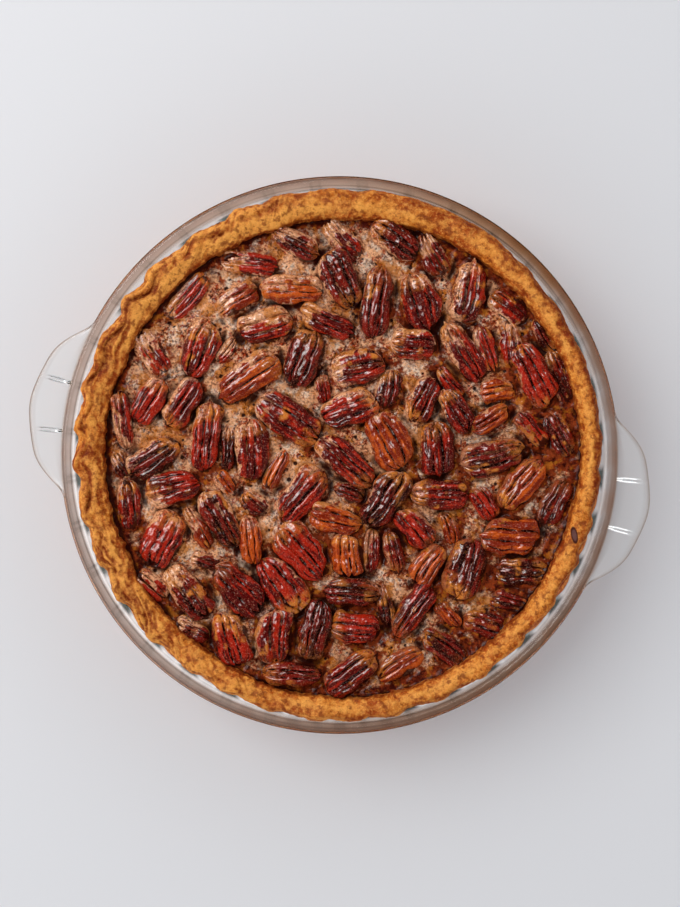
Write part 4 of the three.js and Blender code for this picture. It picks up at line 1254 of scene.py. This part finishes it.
def filling_mesh(sizes, halves):
    """The filling as one closed body: a baked skin that climbs the nuts and the pastry, with pinholes
    and froth, over plain sides. Returns points, faces and masks."""
    unit_x, unit_y = disc_grid(sizes.grid)
    reach = inner_edge(np.arctan2(unit_y, unit_x)) - 0.9
    flat = np.stack([(unit_x * reach).ravel(), (unit_y * reach).ravel(), np.zeros(unit_x.size)], axis=-1)
    radius = np.hypot(flat[:, 0], flat[:, 1])
    from_edge = np.maximum(reach.ravel() - radius, 0)
    near, second = gaps_to_halves(flat, halves)
    outside = np.maximum(near, 0)

    climb = 0.55 + 0.6 * noise(flat, 6, 47)
    skin = 0.35 * noise(flat, 11, 41, 2) + 0.34 * noise(flat, 2.3, 43, 3) + 0.3 * noise(flat, 5, 45, 2)
    skin = skin + 0.9 * climb * np.exp(-(outside**1.3)) * (near < 4)
    skin = skin - 0.5 * bell(outside - 1.9, 0.8) * (near < 6)
    skin = skin + np.exp(-from_edge / 1.1)
    # Two nuts that nearly touch leave a deep pocket between them, painted dark as shade.
    pocket = smoothstep(3.9, 1.9, second + 0.8 * noise(flat, 2.6, 75, 2))
    pocket = pocket * smoothstep(-0.2, 0.2, noise(flat, 9, 73, 2))
    skin = skin - 1.5 * pocket
    pit = gaps_to_pinholes(flat, sizes.pinholes)
    skin = skin - 1.1 * smoothstep(0.3, -0.4, pit)
    height = FILLING_TOP + np.clip(skin, -1.6, 2.2)
    points, faces = filling_body(np.stack([flat[:, 0], flat[:, 1], height], axis=-1), sizes.grid)

    # Masks. The froth is palest in the middle and fades to brown syrup at the edge and lower right.
    lower_right = (flat[:, 0] - flat[:, 1]) / 150
    froth = 0.73 - 0.06 * smoothstep(45, 100, radius) - 0.28 * np.clip(lower_right, -0.8, 1)
    froth = froth + 0.4 * noise(flat, 11, 61, 2) - 0.5 * smoothstep(6, 1, from_edge)
    # Less froth close to the nuts: seeped syrup and painted shade.
    seeped = smoothstep(3.2, 0.8, outside) * smoothstep(-0.4, 0.3, noise(flat, 6, 63, 2))
    froth = froth - 0.2 * seeped
    # A dark band along the pastry's foot, widest at the left: wet syrup and the pastry's painted shadow.
    at_left = np.clip(-flat[:, 0] / 100, 0, 1)
    wet = smoothstep(1.7 + at_left, 0.5 + at_left, from_edge + 0.9 * noise(flat, 5, 67, 3))
    wet = np.maximum(wet, pocket)
    edge = smoothstep(16, 3, from_edge) * (0.5 + 0.4 * noise(flat, 12, 71))
    edge = edge + 0.35 * np.clip(lower_right - 0.35, 0, 1)
    pad = len(points) - len(flat)
    masks = {"froth": froth, "wet": wet, "edge": edge}
    masks = {key: np.append(np.clip(values, 0, 1), np.zeros(pad)) for key, values in masks.items()}
    masks["gap"] = np.append(np.clip(near, -3, GAP_FAR), np.full(pad, GAP_FAR))
    masks["pit"] = np.append(pit, np.full(pad, PIT_FAR))
    return points, faces, masks


# ---- Settings -----------------------------------------------------------------------------------


def colour_prop(name, description, *shades):
    kind = {"subtype": "COLOR", "size": 3, "min": 0, "max": 1}
    return FloatVectorProperty(name=name, description=description, default=srgb(*shades), **kind)


def count_prop(name, description, default):
    return IntProperty(name=name, description=description, default=default, min=3)


def number_prop(name, description, default, unit="NONE"):
    return FloatProperty(name=name, description=description, default=default, unit=unit)


class PIE_PG_look(bpy.types.PropertyGroup):
    """Colours of every finish"""

    glass_tint: colour_prop("Glass tint", "Cast of the clear glass", 249, 252, 252)
    # Colour of the dark refraction painted between the flutes.
    glass_wedge: colour_prop("Glass wedges", "Dark places between the flutes", 58, 74, 70)
    # Strength of the glass's painted glints, which glow by emission.
    gleam: number_prop("Gleam", "Light that the edges of the glass gather", 0.45)
    # The rim's cast and streaks are painted refraction of the pie seen through the thick glass.
    rim_cast: colour_prop("Rim cast", "Brown-grey cast of the thick rim", 184, 136, 90)
    rim_streak: colour_prop("Rim streak", "Darker streaks along the rim", 74, 62, 50)
    pastry_golden: colour_prop("Golden pastry", "Main colour of the baked edge", 203, 109, 27)
    pastry_amber: colour_prop("Amber pastry", "Deeper patches of the baked edge", 178, 74, 10)
    pastry_pale: colour_prop("Pale pastry", "Flaky places that took less colour", 244, 168, 78)
    # Browning colour, also laid as painted shade in the fold, the flakes' hollows and the inner edge.
    pastry_browned: colour_prop("Browned pastry", "Fold and inner edge, baked the most", 116, 38, 4)
    pastry_scorched: colour_prop("Scorched pastry", "Edge of the two burnt spots", 66, 22, 10)
    pastry_ash: colour_prop("Ash", "Middle of the two burnt spots", 112, 74, 70)
    filling_brown: colour_prop("Filling", "Toasted skin of the filling", 152, 62, 24)
    filling_dark: colour_prop("Dark filling", "Syrupy places of the filling", 60, 6, 1)
    filling_ruddy: colour_prop("Ruddy filling", "Redder places of the filling", 116, 34, 14)
    filling_amber: colour_prop("Amber filling", "Clear caramel spots", 214, 126, 34)
    # Also the painted shadow beside the nuts and at the pastry's foot.
    syrup: colour_prop("Syrup", "Wet places beside the nuts and in the pinholes", 44, 4, 1)
    froth: colour_prop("Froth", "Baked foam on the filling", 255, 188, 138)
    froth_cream: colour_prop("Cream froth", "Palest foam", 255, 234, 210)
    # Also a painted sheen on the halves' upper-left flanks.
    froth_film: colour_prop("Froth film", "Thin foam that dried on the nuts", 246, 178, 154)
    froth_toasted: colour_prop("Toasted froth", "Foam that took colour", 178, 62, 22)
    pecan_red: colour_prop("Red pecan", "Skin of most halves", 180, 33, 10)
    pecan_red_deep: colour_prop("Deep red pecan", "Darker streaks of most halves", 88, 4, 3)
    pecan_dark: colour_prop("Dark pecan", "Skin of the darkest halves", 130, 22, 10)
    pecan_dark_deep: colour_prop("Deep dark pecan", "Darker streaks of the darkest halves", 56, 6, 2)
    pecan_orange: colour_prop("Orange pecan", "Skin of the palest halves", 210, 88, 20)
    pecan_orange_deep: colour_prop("Deep orange pecan", "Darker streaks of the palest halves", 136, 34, 5)
    # Laid in the furrows and at the foot as painted shade, and as dark grain.
    pecan_furrow: colour_prop("Furrow", "Bottom of the furrows", 48, 3, 1)
    pecan_tip: colour_prop("Pecan tip", "Tips rubbed paler", 224, 134, 50)
    pecan_bloom: colour_prop("Pecan bloom", "Fine pale grain of the skin", 236, 150, 116)
    floor: colour_prop("Floor", "Plain floor under the plate", 226, 226, 229)


class PIE_PG_plate(bpy.types.PropertyGroup):
    """How finely the glass plate is made"""

    steps: count_prop("Steps", "Steps round the plate, away from the handles", 576)
    wall_rings: count_prop("Wall rings", "Rings up the wall, inside and outside", 9)


class PIE_PG_pastry(bpy.types.PropertyGroup):
    """How finely the pastry is made"""

    steps: count_prop("Steps", "Steps round the edge", 1140)
    wall_rings: count_prop("Wall rings", "Rings up the outside wall", 12)
    top_rings: count_prop("Top rings", "Rings over the top of the edge", 46)


class PIE_PG_filling(bpy.types.PropertyGroup):
    """How finely the filling is made"""

    grid: count_prop("Grid", "Points each way over its top", 292)
    pinholes: count_prop("Pinholes", "Burst bubbles in its skin", 700)


class PIE_PG_pecans(bpy.types.PropertyGroup):
    """Sizes of the pecan halves"""

    stations: count_prop("Stations", "Rings along each half", 54)
    over: count_prop("Points over", "Points over the top of each ring", 46)
    under: count_prop("Points under", "Points under each ring", 4)
    rise: number_prop("Rise", "Height of a whole half over the filling", 5.9 * MM, "LENGTH")
    sunken_rise: number_prop("Sunken rise", "Height of a sunken half", 4.6 * MM, "LENGTH")


class PIE_PG_stage(bpy.types.PropertyGroup):
    """Camera and lights"""

    distance: number_prop("Camera height", "Camera over the rim", 1.05, "LENGTH")
    view_height: number_prop("View height", "Height seen at the rim", 0.4081, "LENGTH")
    window_power: number_prop("Window light", "Power of the soft side light", 8.4, "POWER")
    blinds_power: number_prop("Wide gloss", "Power of the broad light in gloss", 17, "POWER")
    lamp_power: number_prop("Narrow gloss", "Power of the small light in gloss", 3, "POWER")
    room: number_prop("Room light", "Strength of the light from all round", 1.53)
    ceiling: number_prop("Ceiling", "How bright it is straight above, beside the room", 0.2)


# ---- Operators ----------------------------------------------------------------------------------


def settings(context, name):
    return getattr(context.scene, f"pie_{name}")


class PIE_OT_glass_plate(bpy.types.Operator):
    """Build the clear glass plate with its flutes and two tab handles"""

    bl_idname = "pie.glass_plate"
    bl_label = "Glass Plate"

    def execute(self, context):
        points, faces, masks = plate_mesh(settings(context, "plate"))
        plate = make_object("pie_plate", points, faces, clear_glass(settings(context, "look")), masks)
        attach(plate, "root")
        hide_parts("glass_plate")
        return {"FINISHED"}


class PIE_OT_pastry(bpy.types.Operator):
    """Build the pastry case with its baked edge"""

    bl_idname = "pie.pastry"
    bl_label = "Pastry Case"

    def execute(self, context):
        points, faces, masks = pastry_mesh(settings(context, "pastry"))
        material = baked_pastry(settings(context, "look"))
        pastry = make_object("pastry_case", turned_from_pie(points), faces, material, masks)
        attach(pastry, "root")
        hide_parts("crust")
        return {"FINISHED"}


class PIE_OT_filling(bpy.types.Operator):
    """Build the filling with its baked skin"""

    bl_idname = "pie.filling"
    bl_label = "Filling"

    def execute(self, context):
        halves = [half for _, half in standing_halves()] + sunken_halves()
        points, faces, masks = filling_mesh(settings(context, "filling"), halves)
        material = baked_filling(settings(context, "look"))
        filling = make_object("syrup_filling", turned_from_pie(points), faces, material, masks)
        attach(filling, "root")
        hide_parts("filling")
        return {"FINISHED"}


class PIE_OT_standing_pecans(bpy.types.Operator):
    """Build the whole pecan halves, one piece for each"""

    bl_idname = "pie.standing_pecans"
    bl_label = "Standing Pecans"

    def execute(self, context):
        look, sizes = settings(context, "look"), settings(context, "pecans")
        tones = ("red", "dark", "orange")
        finishes = {tone: glazed_pecan(tone, look) for tone in tones}
        for index, (node, half) in enumerate(standing_halves()):
            seed, rise = STANDING_SEED + index, sizes.rise / MM
            points, faces, masks = kernel_points(half, sizes, seed, STANDING_BASE, rise)
            name = node.replace("pecan", "pecan_half")
            kernel = make_object(name, turned_from_pie(points), faces, finishes[half.tone], masks)
            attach(kernel, "root")
            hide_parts(node)
        return {"FINISHED"}


class PIE_OT_sunken_pecans(bpy.types.Operator):
    """Build the halves that sank into the filling, one joined piece for each browning"""

    bl_idname = "pie.sunken_pecans"
    bl_label = "Sunken Pecans"

    def execute(self, context):
        look, sizes = settings(context, "look"), settings(context, "pecans")
        batches = {}
        for index, half in enumerate(sunken_halves()):
            seed, rise = SUNKEN_SEED + index, sizes.sunken_rise / MM
            base = FILLING_TOP + SUNKEN_RISE - rise
            made = kernel_points(half, sizes, seed, base, rise, SUNKEN_FINENESS)
            batches.setdefault(half.tone, []).append(made)
        for tone, batch in batches.items():
            offset, all_points, all_faces = 0, [], []
            for points, faces, _ in batch:
                all_points.append(points)
                all_faces += [[index + offset for index in face] for face in faces]
                offset += len(points)
            masks = {key: np.concatenate([m[key] for _, _, m in batch]) for key in batch[0][2]}
            points = turned_from_pie(np.concatenate(all_points))
            joined = make_object(f"sunken_{tone}", points, all_faces, glazed_pecan(tone, look), masks)
            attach(joined, "root")
            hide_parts("filling")
        return {"FINISHED"}


class PIE_OT_stage(bpy.types.Operator):
    """Set the plain floor, the soft lights and the camera straight above"""

    bl_idname = "pie.stage"
    bl_label = "Stage"

    def execute(self, context):
        stage, look = settings(context, "stage"), settings(context, "look")
        scene = context.scene
        quarters = ((-1, -1), (1, -1), (1, 1), (-1, 1))
        corners = [(x * FLOOR_REACH, y * FLOOR_REACH, -0.05) for x, y in quarters]
        floor = make_object("floor", corners, [[0, 1, 2, 3]], plain_floor(look))

        camera = bpy.data.objects.new("camera", bpy.data.cameras.new("camera"))
        camera.data.sensor_width = CAMERA_SENSOR
        camera.data.lens = CAMERA_SENSOR * stage.distance / stage.view_height
        middle = turned_from_pie(np.array([VIEW_MIDDLE]))[0] * MM
        camera.location = (middle[0], middle[1], stage.distance + PLATE_HEIGHT * MM)
        camera.rotation_euler = (0, 0, PIE_TURN)
        scene.collection.objects.link(camera)
        scene.camera = camera

        self.area_light(scene, "window", WINDOW_PLACE, 0.95, stage.window_power, (1.0, 0.985, 0.96))
        # A wider light and a narrow one that show in gloss alone.
        blinds = self.area_light(scene, "blinds", BLINDS_PLACE, 1.0, stage.blinds_power, (1.0, 0.97, 0.95))
        lamp = self.area_light(scene, "lamp", LAMP_PLACE, 0.34, stage.lamp_power, (1.0, 0.98, 0.96))
        for light in (blinds, lamp):
            light.visible_diffuse = light.visible_transmission = False
        scene.world = self.room(stage)
        scene.view_settings.view_transform = "Standard"
        return {"FINISHED"}

    def room(self, stage):
        """Soft light from all round: brightest on the window's side, and dim straight above."""
        world = bpy.data.worlds.new("soft_room")
        world.use_nodes = True
        tree = world.node_tree
        toward = add(tree, "ShaderNodeTexCoord").outputs["Generated"]
        up = add(tree, "ShaderNodeSeparateXYZ", {0: toward}).outputs["Z"]
        window = add(tree, "ShaderNodeVectorMath", {0: toward, 1: (-0.8, 0.5, 0)}, operation="DOT_PRODUCT")
        side = figure(tree, "MULTIPLY_ADD", window.outputs["Value"], 0.15, 0.9)
        dim = figure(tree, "MULTIPLY_ADD", stepped(tree, up, 0.78, 0.44), 1 - stage.ceiling, stage.ceiling)
        strength = figure(tree, "MULTIPLY", figure(tree, "MULTIPLY", side, dim), stage.room)
        # Gloss shows the window and little of the room.
        path = add(tree, "ShaderNodeLightPath").outputs
        mirrored = figure(tree, "SUBTRACT", path["Is Glossy Ray"], path["Is Transmission Ray"])
        mirrored = figure(tree, "MAXIMUM", mirrored, 0.0)
        strength = figure(tree, "MULTIPLY", strength, figure(tree, "MULTIPLY_ADD", mirrored, -0.93, 1.0))
        background = tree.nodes["Background"]
        background.inputs["Color"].default_value = (0.95, 0.97, 1.0, 1)
        tree.links.new(strength, background.inputs["Strength"])
        return world

    def area_light(self, scene, name, place, size, power, colour):
        """A square light at a place in the pie's frame, in millimetres, that faces the pie."""
        light = bpy.data.lights.new(name, "AREA")
        light.size, light.energy, light.color = size, power, colour
        thing = bpy.data.objects.new(name, light)
        thing.location = turned_from_pie(np.array([place], float))[0] * MM
        direction = Vector(LIGHTS_AIM) * MM - thing.location
        thing.rotation_euler = direction.to_track_quat("-Z", "Y").to_euler()
        scene.collection.objects.link(thing)
        return thing


class PIE_PT_panel(bpy.types.Panel):
    """Every piece of the pie, in the order in which it is built"""

    bl_idname = "PIE_PT_panel"
    bl_label = "Pecan Pie"
    bl_space_type = "VIEW_3D"
    bl_region_type = "UI"
    bl_category = "Pecan Pie"

    def draw(self, context):
        for operator in OPERATORS:
            self.layout.operator(operator.bl_idname)
        for name, group in GROUPS.items():
            box = self.layout.box()
            box.label(text=group.__doc__)
            for key in group.__annotations__:
                box.prop(settings(context, name), key)


OPERATORS = (
    PIE_OT_stage,
    PIE_OT_glass_plate,
    PIE_OT_pastry,
    PIE_OT_filling,
    PIE_OT_standing_pecans,
    PIE_OT_sunken_pecans,
)
GROUPS = {
    "look": PIE_PG_look,
    "plate": PIE_PG_plate,
    "pastry": PIE_PG_pastry,
    "filling": PIE_PG_filling,
    "pecans": PIE_PG_pecans,
    "stage": PIE_PG_stage,
}


def register():
    for name, group in GROUPS.items():
        bpy.utils.register_class(group)
        setattr(bpy.types.Scene, f"pie_{name}", PointerProperty(type=group))
    for item in (*OPERATORS, PIE_PT_panel):
        bpy.utils.register_class(item)


def unregister():
    for item in (PIE_PT_panel, *reversed(OPERATORS)):
        bpy.utils.unregister_class(item)
    for name, group in reversed(GROUPS.items()):
        delattr(bpy.types.Scene, f"pie_{name}")
        bpy.utils.unregister_class(group)


def main():
    register()
    for operator in OPERATORS:
        group, name = operator.bl_idname.split(".")
        getattr(getattr(bpy.ops, group), name)()


if __name__ == "__main__":
    main()
